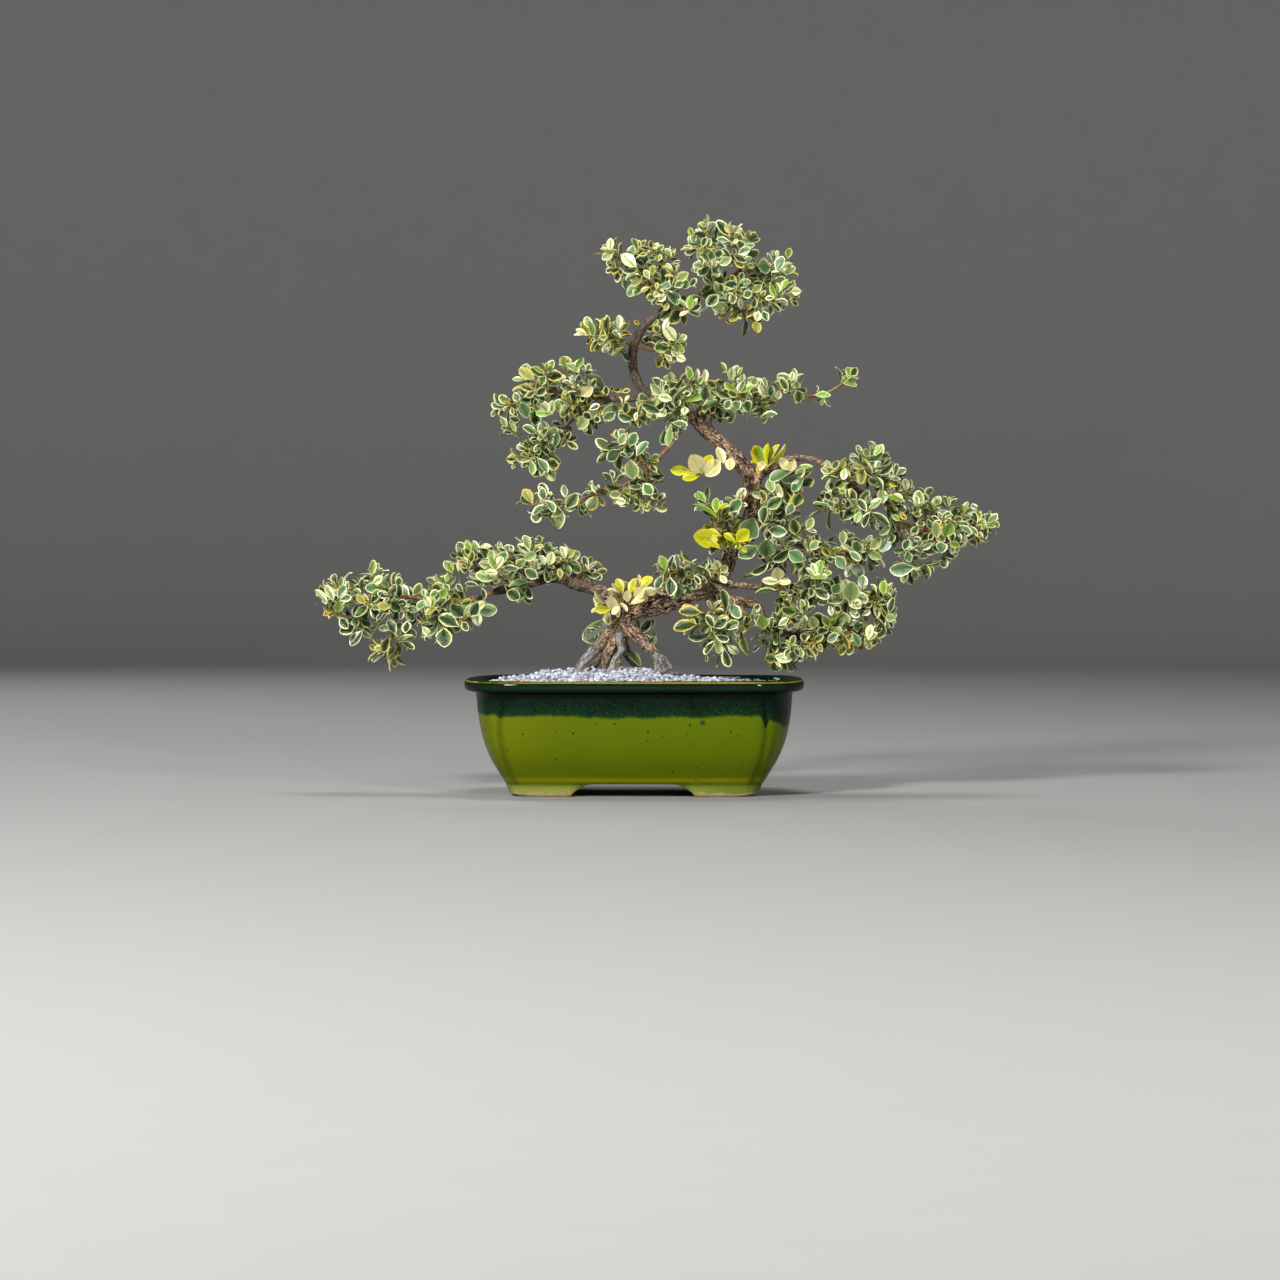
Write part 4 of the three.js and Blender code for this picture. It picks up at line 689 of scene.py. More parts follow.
        -213,166,-12,0,8, -235,168,-7,8,7, -217,157,-15,-22,2, -172,165,-11,-6,6, -151,147,4,13,4),
        "o": (-211,184,2,12,4, -223,127,-13,-10,3), "p": (-231,193,2,14,8, -259,181,3,11,6,
        -208,136,14,4,6, -211,126,-4,-18,6, -222,130,-8,-2,4), "w": (-271,169,-11,11,7,
        -264,171,-7,14,9, -229,186,10,6,8, -187,148,8,-11,8, -178,165,-5,10,7),
    },
    "left_inner": {
        "c": (-155,196,0,12,5), "d": (-137,184,-12,2,6, -116,199,15,-1,7, -111,179,13,-7,11,
        -133,219,3,-12,7, -152,178,-6,7,6), "e": (-157,208,-4,5,5, -150,209,-6,5,6,
        -147,199,-5,4,4), "g": (-92,187,-19,-3,7, -85,191,-12,7,10, -73,214,-6,5,8,
        -166,181,-12,3,8), "l": (-122,198,-3,13,6, -143,213,-6,9,7, -161,195,-3,10,7,
        -141,213,-7,11,7, -166,175,-1,4,4, -179,180,-2,4,4), "m": (-60,208,7,8,7),
        "o": (-144,210,-4,6,6, -144,204,3,10,7, -134,182,3,-10,6), "p": (-123,189,-16,6,11,
        -97,207,12,6,9, -65,190,-1,9,6, -92,216,-5,12,8, -137,214,-4,9,6, -136,213,-6,10,6,
        -126,205,2,10,7, -146,203,-6,7,4, -161,197,-8,8,7, -164,184,-12,10,7, -166,184,8,8,5,
        -160,171,-2,10,5), "w": (-131,196,12,-1,5, -121,198,6,12,8, -86,198,1,9,8, -75,202,3,11,9,
        -61,208,-3,11,7, -135,217,10,1,5),
    },
    "cream_fork": {
        "c": (-18,163,-1,11,10, -12,166,-7,-7,6, -5,170,-1,11,8, 1,174,8,8,10, -2,168,13,6,7,
        -11,169,6,-8,5), "y": (-20,164,-14,-1,8, -3,177,4,14,8, 6,182,11,10,8, -9,179,-5,12,7),
    },
    "base_left": {
        "b": (-16,154,-32,-19,21),
    },
    "base_right": {
        "d": (5,141,10,12,9, 5,141,10,-9,8, -5,142,7,7,4), "o": (13,128,5,11,7),
        "p": (-7,126,14,-13,10),
    },
    "back_cluster": {
        "d": (-44,197,-2,13,7, -43,197,9,8,4, -43,197,-7,7,5, -43,196,8,0,4),
    },
}


def clamped(value, low=0, high=1):
    """The value, held between low and high."""
    return min(max(value, low), high)


def unit(vector):
    return vector / max(np.linalg.norm(vector), 1e-9)


def run_along(line):
    """How far along a line each of its points lies."""
    return np.concatenate(((0,), np.cumsum(np.linalg.norm(np.diff(line, axis=0), axis=1))))


class Skin:
    """Vertices and faces gathered for one piece, with what its finish reads at each vertex."""

    def __init__(self):
        self.vertices = []
        self.faces = []
        self.finishes = []
        self.marks = {"form": [], "draw": [], "tone": []}
        self.count = 0

    def add(self, vertices, faces, finish=0, form=(0, 0, 0), draw=(0, 0, 0), tone=(0, 0, 0)):
        start = self.count
        self.vertices.append(np.asarray(vertices, float))
        self.faces.extend([tuple(start + corner for corner in face) for face in faces])
        self.finishes.extend([finish] * len(faces))
        for name, mark in (("form", form), ("draw", draw), ("tone", tone)):
            self.marks[name].append(np.broadcast_to(mark, (len(vertices), 3)))
        self.count += len(vertices)

    def used(self):
        """The finishes of the piece, in the order in which its mesh counts them."""
        return sorted(set(self.finishes))

    def mesh(self, name):
        mesh = bpy.data.meshes.new(name)
        points = np.vstack(self.vertices) * MM + PLAN_MIDDLE
        mesh.from_pydata(points.tolist(), [], self.faces)
        order = {finish: place for place, finish in enumerate(self.used())}
        mesh.polygons.foreach_set("material_index", [order[finish] for finish in self.finishes])
        for name, rows in self.marks.items():
            rows = np.vstack(rows)
            if rows.any():
                store_vectors(mesh, name, rows)
        return mesh


def store_vectors(mesh, name, rows):
    attribute = mesh.attributes.new(name, "FLOAT_VECTOR", "POINT")
    attribute.data.foreach_set("vector", np.ascontiguousarray(rows, np.float32).ravel())


def add_object(name, mesh):
    made = bpy.data.objects.new(name, mesh)
    bpy.context.scene.collection.objects.link(made)
    return made


def add_piece(name, mesh, finishes, nodes, sharp_degrees=50):
    """Puts a finished mesh in the scene as a piece that stands for these nodes."""
    for finish in finishes:
        mesh.materials.append(finish)
    mesh.polygons.foreach_set("use_smooth", [True] * len(mesh.polygons))
    mesh.set_sharp_from_angle(angle=math.radians(sharp_degrees))
    mesh.update()
    piece = add_object(name, mesh)
    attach(piece, ROOT)
    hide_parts(*nodes)


def remade_mesh(name, source, *modifiers):
    """The mesh of a source object after these modifiers, each a type and its settings."""
    for kind, settings in modifiers:
        modifier = source.modifiers.new(kind, kind)
        for key, value in settings.items():
            setattr(modifier, key, value)
    graph = bpy.context.evaluated_depsgraph_get()
    mesh = bpy.data.meshes.new_from_object(source.evaluated_get(graph))
    mesh.name = name
    old = source.data
    bpy.data.objects.remove(source)
    bpy.data.meshes.remove(old)
    return mesh


def smooth_line(points, spacing):
    """A smooth line through the points, and how far along the list each place on it lies."""
    points = np.asarray(points, float)
    ends = np.vstack((2 * points[0] - points[1], points, 2 * points[-1] - points[-2]))
    line, shares = [points[0]], [0.0]
    for i in range(len(points) - 1):
        a, b, c, d = ends[i : i + 4]
        steps = max(1, math.ceil(np.linalg.norm(c - b) / spacing))
        for k in range(1, steps + 1):
            t = k / steps
            bend = (c - a) * t + (2 * a - 5 * b + 4 * c - d) * t**2
            line.append(0.5 * (2 * b + bend + (3 * b - a - 3 * c + d) * t**3))
            shares.append((i + t) / (len(points) - 1))
    return np.array(line), np.array(shares)


def spread_values(values, shares):
    """A short list of values read at shares of its whole run."""
    return np.interp(shares, np.linspace(0, 1, len(values)), values)


def ring_faces(rings, sides):
    """Faces of a tube of rings that is closed by a point at each end."""
    faces = []
    last = rings * sides
    for k in range(sides):
        after = (k + 1) % sides
        faces.append((last, after, k))
        for r in range(rings - 1):
            low, high = r * sides, (r + 1) * sides
            faces.append((low + k, low + after, high + after, high + k))
        faces.append((last + 1, last - sides + k, last - sides + after))
    return faces


def guides_along(line):
    """The line's own way at each point, and two directions across it that don't spin about it."""
    ways = np.gradient(line, axis=0)
    across = unit(np.cross((0.3, 1.0, 0.2), ways[0]))
    guides = []
    for way in ways:
        way = unit(way)
        across = unit(across - way * np.dot(across, way))
        guides.append((way, across, np.cross(way, across)))
    return guides


def tube(line, radii, sides):
    """A round tube along a line: vertices, faces, and how far each vertex is along it."""
    angles = np.linspace(0, 2 * math.pi, sides, endpoint=False)
    guides = guides_along(line)
    rings = []
    for point, (_, across, other), radius in zip(line, guides, radii):
        circle = np.outer(np.cos(angles), across) + np.outer(np.sin(angles), other)
        rings.append(point + radius * circle)
    ends = (line[0] - guides[0][0] * radii[0] * 0.5, line[-1] + guides[-1][0] * radii[-1] * 0.8)
    run = run_along(line)
    along = np.concatenate((np.repeat(run, sides), (0.0, run[-1])))
    return np.vstack((*rings, *ends)), ring_faces(len(line), sides), along


def evenly(points, steps):
    """The same line with its points spread evenly along it."""
    run = run_along(points)
    wanted = np.linspace(0, run[-1], steps + 1)
    return np.stack([np.interp(wanted, run, points[:, axis]) for axis in (0, 1)], axis=1)


def outline(height, half_length):
    """The pot's outline at a height: lobed sides that meet in four soft creases."""
    rise = clamped(height / POT_HEIGHT)
    side_lobe, front_lobe = (
        lobe["bottom"] + (lobe["top"] - lobe["bottom"]) * rise for lobe in (SIDE_LOBE, FRONT_LOBE)
    )
    corner_x = half_length - side_lobe
    corner_y = half_length - DEPTH_INSET - front_lobe
    power = 2 / LOBE_SQUARENESS
    angles = np.linspace(0, math.pi / 2, LOBE_POINTS)
    full = np.sin(angles) ** power
    bowed = np.abs(np.cos(angles)) ** power
    side = np.stack((corner_x + side_lobe * bowed, corner_y * full), axis=1)
    front = np.stack((corner_x * full, corner_y + front_lobe * bowed), axis=1)[::-1]
    quarter = np.vstack((evenly(side, SIDE_LOBE_STEPS)[:-1], evenly(front, FRONT_LOBE_STEPS)))
    right = np.vstack(((quarter * (1, -1))[::-1][:-1], quarter))
    left = (right * (-1, 1))[::-1][1:-1]
    loop = np.vstack((right, left))
    reach = range(-4, 5)
    weights = np.exp(-0.5 * (np.array(reach) / CREASE_BLUR) ** 2)
    return sum(w * np.roll(loop, k, axis=0) for w, k in zip(weights / weights.sum(), reach))


def ring(height, half_length, share=1.0):
    """A ring of the pot's outline as points in space, drawn in towards the middle by a share."""
    flat = outline(height, half_length) * share
    return np.column_stack((flat, np.full(len(flat), float(height))))


def arch_rise(points):
    """How high the arches between the feet lift the foot ring at each point."""
    x, y = np.abs(points[:, 0]), np.abs(points[:, 1])
    front = np.interp(x / FRONT_ARCH_HALF_WIDTH, ARCH_SHARES, ARCH_RISES)
    side = np.interp(y / SIDE_ARCH_HALF_WIDTH, ARCH_SHARES, ARCH_RISES)
    return np.maximum(front, side)


def rounded(profile):
    """A profile with every corner cut once, so that it turns in two small steps."""
    cut = [profile[0]]
    for (z0, s0), (z1, s1) in zip(profile, profile[1:]):
        cut.append((0.75 * z0 + 0.25 * z1, 0.75 * s0 + 0.25 * s1))
        cut.append((0.25 * z0 + 0.75 * z1, 0.25 * s0 + 0.75 * s1))
    cut.append(profile[-1])
    return cut


def pot_rings():
    """The pot's rings in order: under its floor, round its foot, up its side and down inside."""
    foot = rounded(FOOT_PROFILE)
    upper = rounded(BODY_PROFILE + RIM_PROFILE + INSIDE_PROFILE)
    rings = [ring(FOOT_HEIGHT, foot[0][1], share) for share in FLAT_SHARES]
    for height, size in foot:
        points = ring(height, size)
        lift = arch_rise(points)
        points[:, 2] = lift + height * (FOOT_HEIGHT - lift) / FOOT_HEIGHT
        rings.append(points)
    for height, size in upper:
        rings.append(ring(height, size))
    rings.extend(ring(FLOOR_HEIGHT, upper[-1][1], share) for share in FLAT_SHARES[::-1])
    return rings


def hand_made(point):
    """The small unevenness that throwing and firing leave, in mm, at a point of the pot."""
    slow = noise.noise_vector(Vector(point) * 0.012) * 0.55
    quick = noise.noise_vector(Vector(point) * 0.06 + Vector((40, 0, 0))) * 0.12
    moved = slow + quick
    above_foot = clamped(point[2] / FOOT_HEIGHT)
    curl = clamped((abs(point[0]) - FOOT_TOUCH) / FOOT_CURL_LENGTH) ** 2 * FOOT_CURL
    return moved.x, moved.y, moved.z * above_foot * 0.6 + curl * (1 - above_foot)


def drain_posts():
    """The two upright posts that cut the drain holes."""
    length, middle = DRAIN_POST
    posts = bmesh.new()
    for side in (-1, 1):
        post = bmesh.ops.create_cone(
            posts, cap_ends=True, segments=48, radius1=1, radius2=1, depth=1
        )
        for vertex in post["verts"]:
            x, y, z = vertex.co
            place = (
                x * DRAIN_RADIUS + side * DRAIN_OFFSET, y * DRAIN_RADIUS, z * length + middle
            )
            vertex.co = Vector(np.array(place) * MM + PLAN_MIDDLE)
    mesh = bpy.data.meshes.new("drains")
    posts.to_mesh(mesh)
    posts.free()
    return add_object("drains", mesh)


def pot_mesh():
    """The pot as one closed skin with its two drain holes."""
    rings = pot_rings()
    points = np.vstack((*rings, ((0, 0, FOOT_HEIGHT), (0, 0, FLOOR_HEIGHT))))
    points = points + np.array([hand_made(point) for point in points])
    skin = Skin()
    skin.add(points, ring_faces(len(rings), len(rings[0])))
    blank = add_object("pot_blank", skin.mesh("pot_blank"))
    posts = drain_posts()
    cut = {"operation": "DIFFERENCE", "object": posts, "solver": "EXACT"}
    mesh = remade_mesh("pot", blank, ("BOOLEAN", cut))
    post_mesh = posts.data
    bpy.data.objects.remove(posts)
    bpy.data.meshes.remove(post_mesh)
    return mesh


def glaze_finish(settings):
    """Lime glaze under a dark green one that runs down from the rim, over a pale clay foot."""
    finish = Finish("glazed_pot", Specular_IOR_Level=0.0, Coat_Roughness=0.05)
    point = finish.place()
    x, y, z = finish.parts(point)
    flat = finish.vector(x, y, 0.0)
    slow = finish.noise(flat, 0.016, 1.0)
    run = finish.noise(flat, 0.075, 2.0)
    frill = finish.noise(point, 0.4, 2.0)
    edge = settings.glaze_line / MM + (slow - 0.5) * 9 + (run - 0.5) * 4 + (frill - 0.5) * 1.6
    # The dark glaze pools in the creases and runs further down at the right.
    away = (62 - z) / 42
    crease = (abs(x) + away * away * 9).hump(115.3, 5.5) * abs(y).rise(30, 42)
    edge = edge - crease * crease * (6.8 + x * 0.035)
    edge = edge - x.hump(133, 11) * 7 * (0.4 + frill)
    edge = edge - abs(x).rise(116, 122) * (1 + x * 0.012) * 1.5
    dark = (z - edge).rise(-1.0, 1.2)
    # Small crystals float in the dark glaze, thickest near its lower edge.
    crystals = finish.noise(point, 1.1, 3.0, 0.65)
    low = 1 - (z - edge).rise(0.0, 13.0)
    crystal_mask = (crystals + low * 0.09).rise(0.53, 0.68)
    mottle = finish.noise(point, 0.05, 3.0)
    dark_glaze = finish.coated(
        settings.dark_glaze,
        (mottle.rise(0.35, 0.65), tint(1, 18, 16)),
        (crystal_mask * 0.75, tint(24, 66, 18)),
    )
    # Iron specks are small dark pits, each in its own cell.
    size = finish.parts(finish.cells(point, 0.14, "Color"))[0]
    speck = 1 - (finish.cells(point, 0.14) - size * 0.13).rise(0.0, 0.03)
    # One drop of the dark glaze fell on the front.
    aside, over = x - 61, z - 66
    drop = 1 - (aside * aside + over * over).rise(1.5, 8.0)
    streaks = finish.noise(finish.vector(x * 0.25, y * 0.25, z * 0.02), 1.0, 3.0)
    lime = finish.coated(
        settings.lime_glaze,
        (finish.noise(point, 0.022, 3.0).rise(0.3, 0.7), tint(84, 98, 0)),
        (streaks.rise(0.45, 0.8) * 0.35, tint(76, 96, 0)),
        # Painted light: the left end of the body is lighter.
        ((1 - x.rise(-125, -40)) * 0.6, tint(102, 106, 0)),
        ((1 - z.rise(18, 46)) * 0.45, tint(74, 86, 0)),
        (z.hump(15.0, 3.6) * 0.75, tint(126, 124, 0)),
        # The lime is darker in the creases: partly glaze that breaks thin there, partly painted
        # shade.
        (crease * 0.5, tint(54, 70, 0)),
        (drop * (1 - y.rise(-60, -50)) * 0.85, tint(8, 56, 26)),
        (speck * 0.95, tint(30, 24, 0)),
    )
    # The glaze breaks thin and ochre over the lip.
    facing = finish.upward()
    lip = z.hump(101.2, 2.0) * facing.hump(0.6, 0.42)
    lip = lip * (finish.noise(point, 0.1, 3.0) + 0.4).least(1.0)
    body = finish.coated(
        lime,
        (dark, dark_glaze),
        ((z - edge).hump(-0.4, 1.3) * 0.6, tint(10, 58, 14)),
        # Painted reflection: a lighter band across the rim's face.
        (z.hump(97.0, 3.5) * 0.6, tint(26, 44, 26)),
        (lip.rise(0.15, 0.6) * 0.9, tint(132, 118, 22)),
    )
    # The foot is bare clay at the bottom, with thin crackled glaze above it.
    clay_grain = finish.noise(point, 0.9, 4.0, 0.6)
    stain = finish.noise(point, 0.11, 3.0)
    clay = finish.coated(
        tint(146, 130, 88),
        (clay_grain, tint(166, 152, 106)),
        (stain.rise(0.5, 0.7) * 0.6, tint(146, 102, 74)),
    )
    crackle = finish.cells(point, 0.33, "Distance", "DISTANCE_TO_EDGE")
    thin = finish.coated(
        tint(122, 130, 52),
        (clay_grain.rise(0.3, 0.7), tint(146, 150, 78)),
        (z.rise(5.0, 11.0) * 0.8, tint(92, 106, 22)),
        ((1 - crackle.rise(0.0, 0.05)) * 0.4, tint(88, 80, 34)),
        # Painted shade: the foot's glaze is darker towards the right.
        (x.rise(30, 90) * 0.6, tint(84, 100, 20)),
    )
    foot_edge = 3.4 + (finish.noise(point, 0.16, 3.0) - 0.5) * 5.5
    glazed = (z - foot_edge).rise(-0.5, 0.7)
    above_foot = (z - 10.6 - (frill - 0.5)).rise(-1.5, 1.5)
    under = (1 - facing.rise(-0.9, -0.75)) * (1 - z.rise(12.0, 14.0))
    body = finish.mix(above_foot, finish.mix(glazed, clay, thin), body)
    body = finish.mix(under, body, clay)
    bare = under.most(1 - glazed)
    rough = 0.06 + bare * 0.62 + (1 - above_foot) * 0.14 + speck * above_foot * 0.1
    height = dark * above_foot * 0.9 + finish.noise(point, 0.09, 2.0) * 1.6 - speck * 0.5
    height = height + bare * clay_grain * 0.8
    finish.set(finish.surface.inputs["Coat Weight"], 0.28 - bare * 0.25)
    return finish.wear(body, rough, height, 0.3)


def soil_finish():
    """Dark crumbly soil with pale grit in it."""
    finish = Finish("potting_soil")
    point = finish.place()
    crumbs = finish.cells(point, 0.35)
    fine = finish.noise(point, 0.9, 4.0, 0.6)
    brown = finish.mix(fine.rise(0.3, 0.7), tint(46, 34, 26), tint(88, 66, 48))
    colour = finish.mix(finish.cells(point, 0.5).rise(0.12, 0.2), tint(150, 140, 122), brown)
    return finish.wear(colour, 0.85 + fine * 0.1, crumbs * 0.7 + fine * 0.3, 1.2)


def plastic_finish():
    """Dark moulded plastic with some soil dust on it."""
    finish = Finish("mesh_plastic")
    point = finish.place()
    mould = finish.noise(point, 0.8, 3.0)
    dust = finish.noise(point, 0.12, 3.0).rise(0.45, 0.7)
    colour = finish.mix(dust * 0.5, tint(34, 38, 35), tint(96, 86, 70))
    return finish.wear(colour, 0.45 + dust * 0.35, mould, 0.05)


class BONSAI_OT_pot(bpy.types.Operator):
    """Builds the glazed pot on its four feet"""

    bl_idname = "bonsai.pot"
    bl_label = "Glazed Pot"

    def execute(self, context):
        finish = glaze_finish(context.scene.bonsai_pot)
        add_piece("glazed_pot", pot_mesh(), (finish,), ("pot",), 60)
        return {"FINISHED"}


class BONSAI_OT_filling(bpy.types.Operator):
    """Finishes the soil in the pot and the mesh over its drain holes"""

    bl_idname = "bonsai.filling"
    bl_label = "Soil and Drain Mesh"

    def execute(self, context):
        soil, plastic = soil_finish(), plastic_finish()
        for node, finish in (
            ("soil", soil), ("drain_mesh_left", plastic), ("drain_mesh_right", plastic)
        ):
            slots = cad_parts[node].data.materials
            slots.clear()
            slots.append(finish)
        return {"FINISHED"}


def mound_height(x, y):
    """The height of the gravel over the floor at a place in plan."""
    share = min(math.hypot(x / INNER_HALF_LENGTH, y / (INNER_HALF_LENGTH - DEPTH_INSET)), 1)
    slope = clamped((x - GRAVEL_SLOPE_START) / GRAVEL_SLOPE_LENGTH)
    fall = GRAVEL_SLOPE_DROP * slope * slope * (3 - 2 * slope) * (1 - share**4)
    return GRAVEL_EDGE_HEIGHT + GRAVEL_MOUND_RISE * (1 - share**2.8) - fall


def inside_loop(x, y, loop):
    """True if a place in plan lies inside a closed loop of points."""
    ahead = np.roll(loop, -1, axis=0)
    spans = (loop[:, 1] > y) != (ahead[:, 1] > y)
    a, b = loop[spans], ahead[spans]
    crossings = a[:, 0] + (y - a[:, 1]) / (b[:, 1] - a[:, 1]) * (b[:, 0] - a[:, 0])
    return np.count_nonzero(crossings > x) % 2 == 1


def grain_shapes(rng, count):
    """Unlike broken stones of radius 1: blunt, with flattened sides."""
    shapes = []
    for _ in range(count):
        ball = bmesh.new()
        bmesh.ops.create_icosphere(ball, subdivisions=1, radius=1)
        faces = [tuple(v.index for v in face.verts) for face in ball.faces]
        offset = Vector((rng.uniform(0, 90), rng.uniform(0, 90), rng.uniform(0, 90)))
        cuts = [(Vector(random_way(rng)), rng.uniform(0.62, 0.85)) for _ in range(GRAIN_CUTS)]
        points = []
        for vertex in ball.verts:
            point = vertex.co * (1 + 0.28 * noise.noise(vertex.co * 1.1 + offset))
            for way, limit in cuts:
                over = point.dot(way) - limit
                if over > 0:
                    point = point - way * over * 0.85
            points.append(tuple(point))
        ball.free()
        shapes.append((np.array(points), faces))
    return shapes


def random_way(rng):
    """A direction, all ways being as likely."""
    return unit(np.array([rng.gauss(0, 1) for _ in range(3)]))


def random_turn(rng):
    """A rotation matrix, all turns being about as likely."""
    first = random_way(rng)
    second = unit(np.cross(first, random_way(rng)))
    return np.column_stack((first, second, np.cross(first, second)))


def gravel_bed(skin):
    """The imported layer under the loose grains, as a closed block with a rough top."""
    edge = outline(GRAVEL_EDGE_HEIGHT, INNER_HALF_LENGTH - 0.6)[::3]
    rings = [
        np.column_stack((edge * share, np.full(len(edge), height)))
        for share, height in ((0.8, GRAVEL_BED_INNER_EDGE), (1.0, GRAVEL_BED_EDGE))
    ]
    for share in GRAVEL_BED_SHARES:
        heights = []
        for x, y in edge * share:
            dip = 0.0 if share == 1 else noise.noise(Vector((x, y, 0)) * 0.25) * 0.8
            heights.append(mound_height(x, y) - GRAVEL_BED_DROP + dip)
        rings.append(np.column_stack((edge * share, heights)))
    top = (0, 0, mound_height(0, 0) - GRAVEL_BED_DROP)
    points = np.vstack((*rings, ((0, 0, GRAVEL_BED_MIDDLE), top)))
    skin.add(points, ring_faces(len(rings), len(edge)), draw=(0.5, 0.35, 0))


def gravel_mesh(settings):
    """The bed with loose grains over all of it, and here and there a second one on top."""
    rng = random.Random(GRAVEL_SEED)
    skin = Skin()
    gravel_bed(skin)
    shapes = grain_shapes(rng, GRAIN_SHAPES)
    radius = settings.grain_size / MM / 2
    pitch = radius * GRAIN_PITCH
    loop = outline(GRAVEL_EDGE_HEIGHT, INNER_HALF_LENGTH - radius - 0.5)
    rows = int(POT_DEPTH / (pitch * GRAIN_ROW_PITCH)) + 1
    columns = int(POT_LENGTH / pitch) + 1
    for row in range(-rows // 2, rows // 2 + 1):
        for column in range(-columns // 2, columns // 2 + 1):
            x = (column + 0.5 * (row % 2)) * pitch + rng.uniform(-GRAIN_SCATTER, GRAIN_SCATTER)
            y = row * pitch * GRAIN_ROW_PITCH + rng.uniform(-GRAIN_SCATTER, GRAIN_SCATTER)
            if not inside_loop(x, y, loop):
                continue
            size = radius * rng.uniform(0.78, 1.2)
            heights = [mound_height(x, y) - 1.2 + rng.uniform(-0.7, 0.9)]
            if rng.random() < SECOND_GRAIN_CHANCE:
                heights.append(heights[0] + radius * 1.25)
            for height in heights:
                shape, faces = rng.choice(shapes)
                stretch = np.array([rng.uniform(0.85, 1.2) for _ in range(3)])
                turned = (shape * stretch * size) @ random_turn(rng).T
                draw = (rng.random(), rng.random(), 1)
                skin.add(turned + (x, y, height), faces, draw=draw)
    return skin.mesh("gravel")


def gravel_finish(settings):
    """Bluish white marble grains, a few of them grey or tan, with painted shade in the gaps."""
    finish = Finish("white_gravel")
    point = finish.place()
    tone, stain, loose = finish.parts(finish.attribute("draw"))
    vein = finish.noise(point, 0.45, 4.0, 0.6)
    # Less light reaches the undersides of the grains.
    shade = 1 - finish.upward().rise(-0.35, 0.3)
    colour = finish.coated(
        settings.grain_colour,
        (tone, tint(220, 222, 230)),
        ((vein - 0.5).rise(0.02, 0.2) * 0.45, tint(138, 142, 164)),
        ((stain - 0.95).rise(0.0, 0.01), tint(140, 130, 112)),
        ((stain - 0.985).rise(0.0, 0.01), tint(96, 102, 78)),
        (shade * 0.5, tint(84, 86, 108)),
    )
    # The bed that shows between the grains is painted dark, as painted shade in the gaps.
    colour = finish.mix(loose, tint(48, 50, 64), colour)
    grain = finish.noise(point, 2.2, 3.0, 0.6)
    return finish.wear(colour, 0.55 + grain * 0.25, grain + vein, 0.25)


class BONSAI_OT_gravel(bpy.types.Operator):
    """Spreads white gravel over the soil in a low mound"""

    bl_idname = "bonsai.gravel"
    bl_label = "White Gravel"

    def execute(self, context):
        settings = context.scene.bonsai_gravel
        finish = gravel_finish(settings)
        add_piece("white_gravel", gravel_mesh(settings), (finish,), ("gravel",), 55)
        return {"FINISHED"}


# Short outgrowths of the wood: a knob at a root's end and the stumps of cut twigs.
STUMPS = (
    ((3.4, 5.2, 5.0, 3.4), ((22, -14, 121), (25, -15, 118), (27, -16, 114), (26, -16, 108))),
    ((2.2, 1.5, 1.0), ((28, -16, 119), (31, -17, 115), (33, -18, 110))),
    ((2.4, 1.7, 1.5), ((67, -8, 318), (66.5, -12, 326), (69.5, -12, 335))),
    ((3.4, 2.6, 2.4), ((-14, -6, 158), (-19, -13, 163), (-21, -16, 166))),
    ((3.2, 2.4, 2.2), ((80, 1, 197), (74, -6, 203), (71, -8, 207))),
    ((2.8, 2.0, 1.8), ((102, 4, 262), (108, -3, 268), (111, -5, 271))),
)
# How pale each root is where it leaves the trunk and where it enters the gravel.
ROOT_PALENESS = {
    "root_left": (0.1, 0.6, 0.85), "root_centre": (0.7, 1.0), "root_right": (0.0, 0.35, 1.0),
    "root_back_left": (0.0, 0.5), "root_back_right": (0.0, 0.5), "root_small": (0.0, 0.1),
}
# The table's radii are scaled up by this.
LIMB_SCALE = 1.06
LIMB_SIDES = 20
WOOD_VOXEL = 0.9
SMOOTHING = {"factor": 0.5, "iterations": 3}
# Stumps that end lower than this are on a root, and are as pale as this.
ROOT_STUMP_HEIGHT = 130
ROOT_STUMP_PALENESS = 0.8
# Bark gets rougher from this radius on, and is at its roughest this much above it.
YOUNG_BARK_RADIUS = 2.2
OLD_BARK_GROWTH = 6.0


def limb_lines():
    """Every limb as a smooth line with its radius and how pale it is at each point."""
    limbs = []
    for name, (radii, points) in LIMBS.items():
        line, shares = smooth_line(points, 1.5)
        share = shares / shares[-1]
        pale = spread_values(ROOT_PALENESS.get(name, (0, 0)), share)
        limbs.append((line, spread_values(radii, share) * LIMB_SCALE, pale))
    for radii, points in STUMPS:
        line, shares = smooth_line(points, 1.0)
        share = shares / shares[-1]
        pale = ROOT_STUMP_PALENESS if line[-1][2] < ROOT_STUMP_HEIGHT else 0.0
        limbs.append((line, spread_values(radii, share), np.full(len(line), pale)))
    return limbs


def lumpy_radii(line, radii, offset):
    """Radii with the swellings that old leaf joints and healed cuts leave."""
    lumps = []
    for s, radius in zip(run_along(line), radii):
        slow = noise.noise(Vector((s * 0.05, offset, 0))) * 0.13
        joint = max(0.0, noise.noise(Vector((s * 0.16, offset + 7, 0)))) * 0.22
        lumps.append(radius * (0.97 + slow + joint))
    return np.array(lumps)


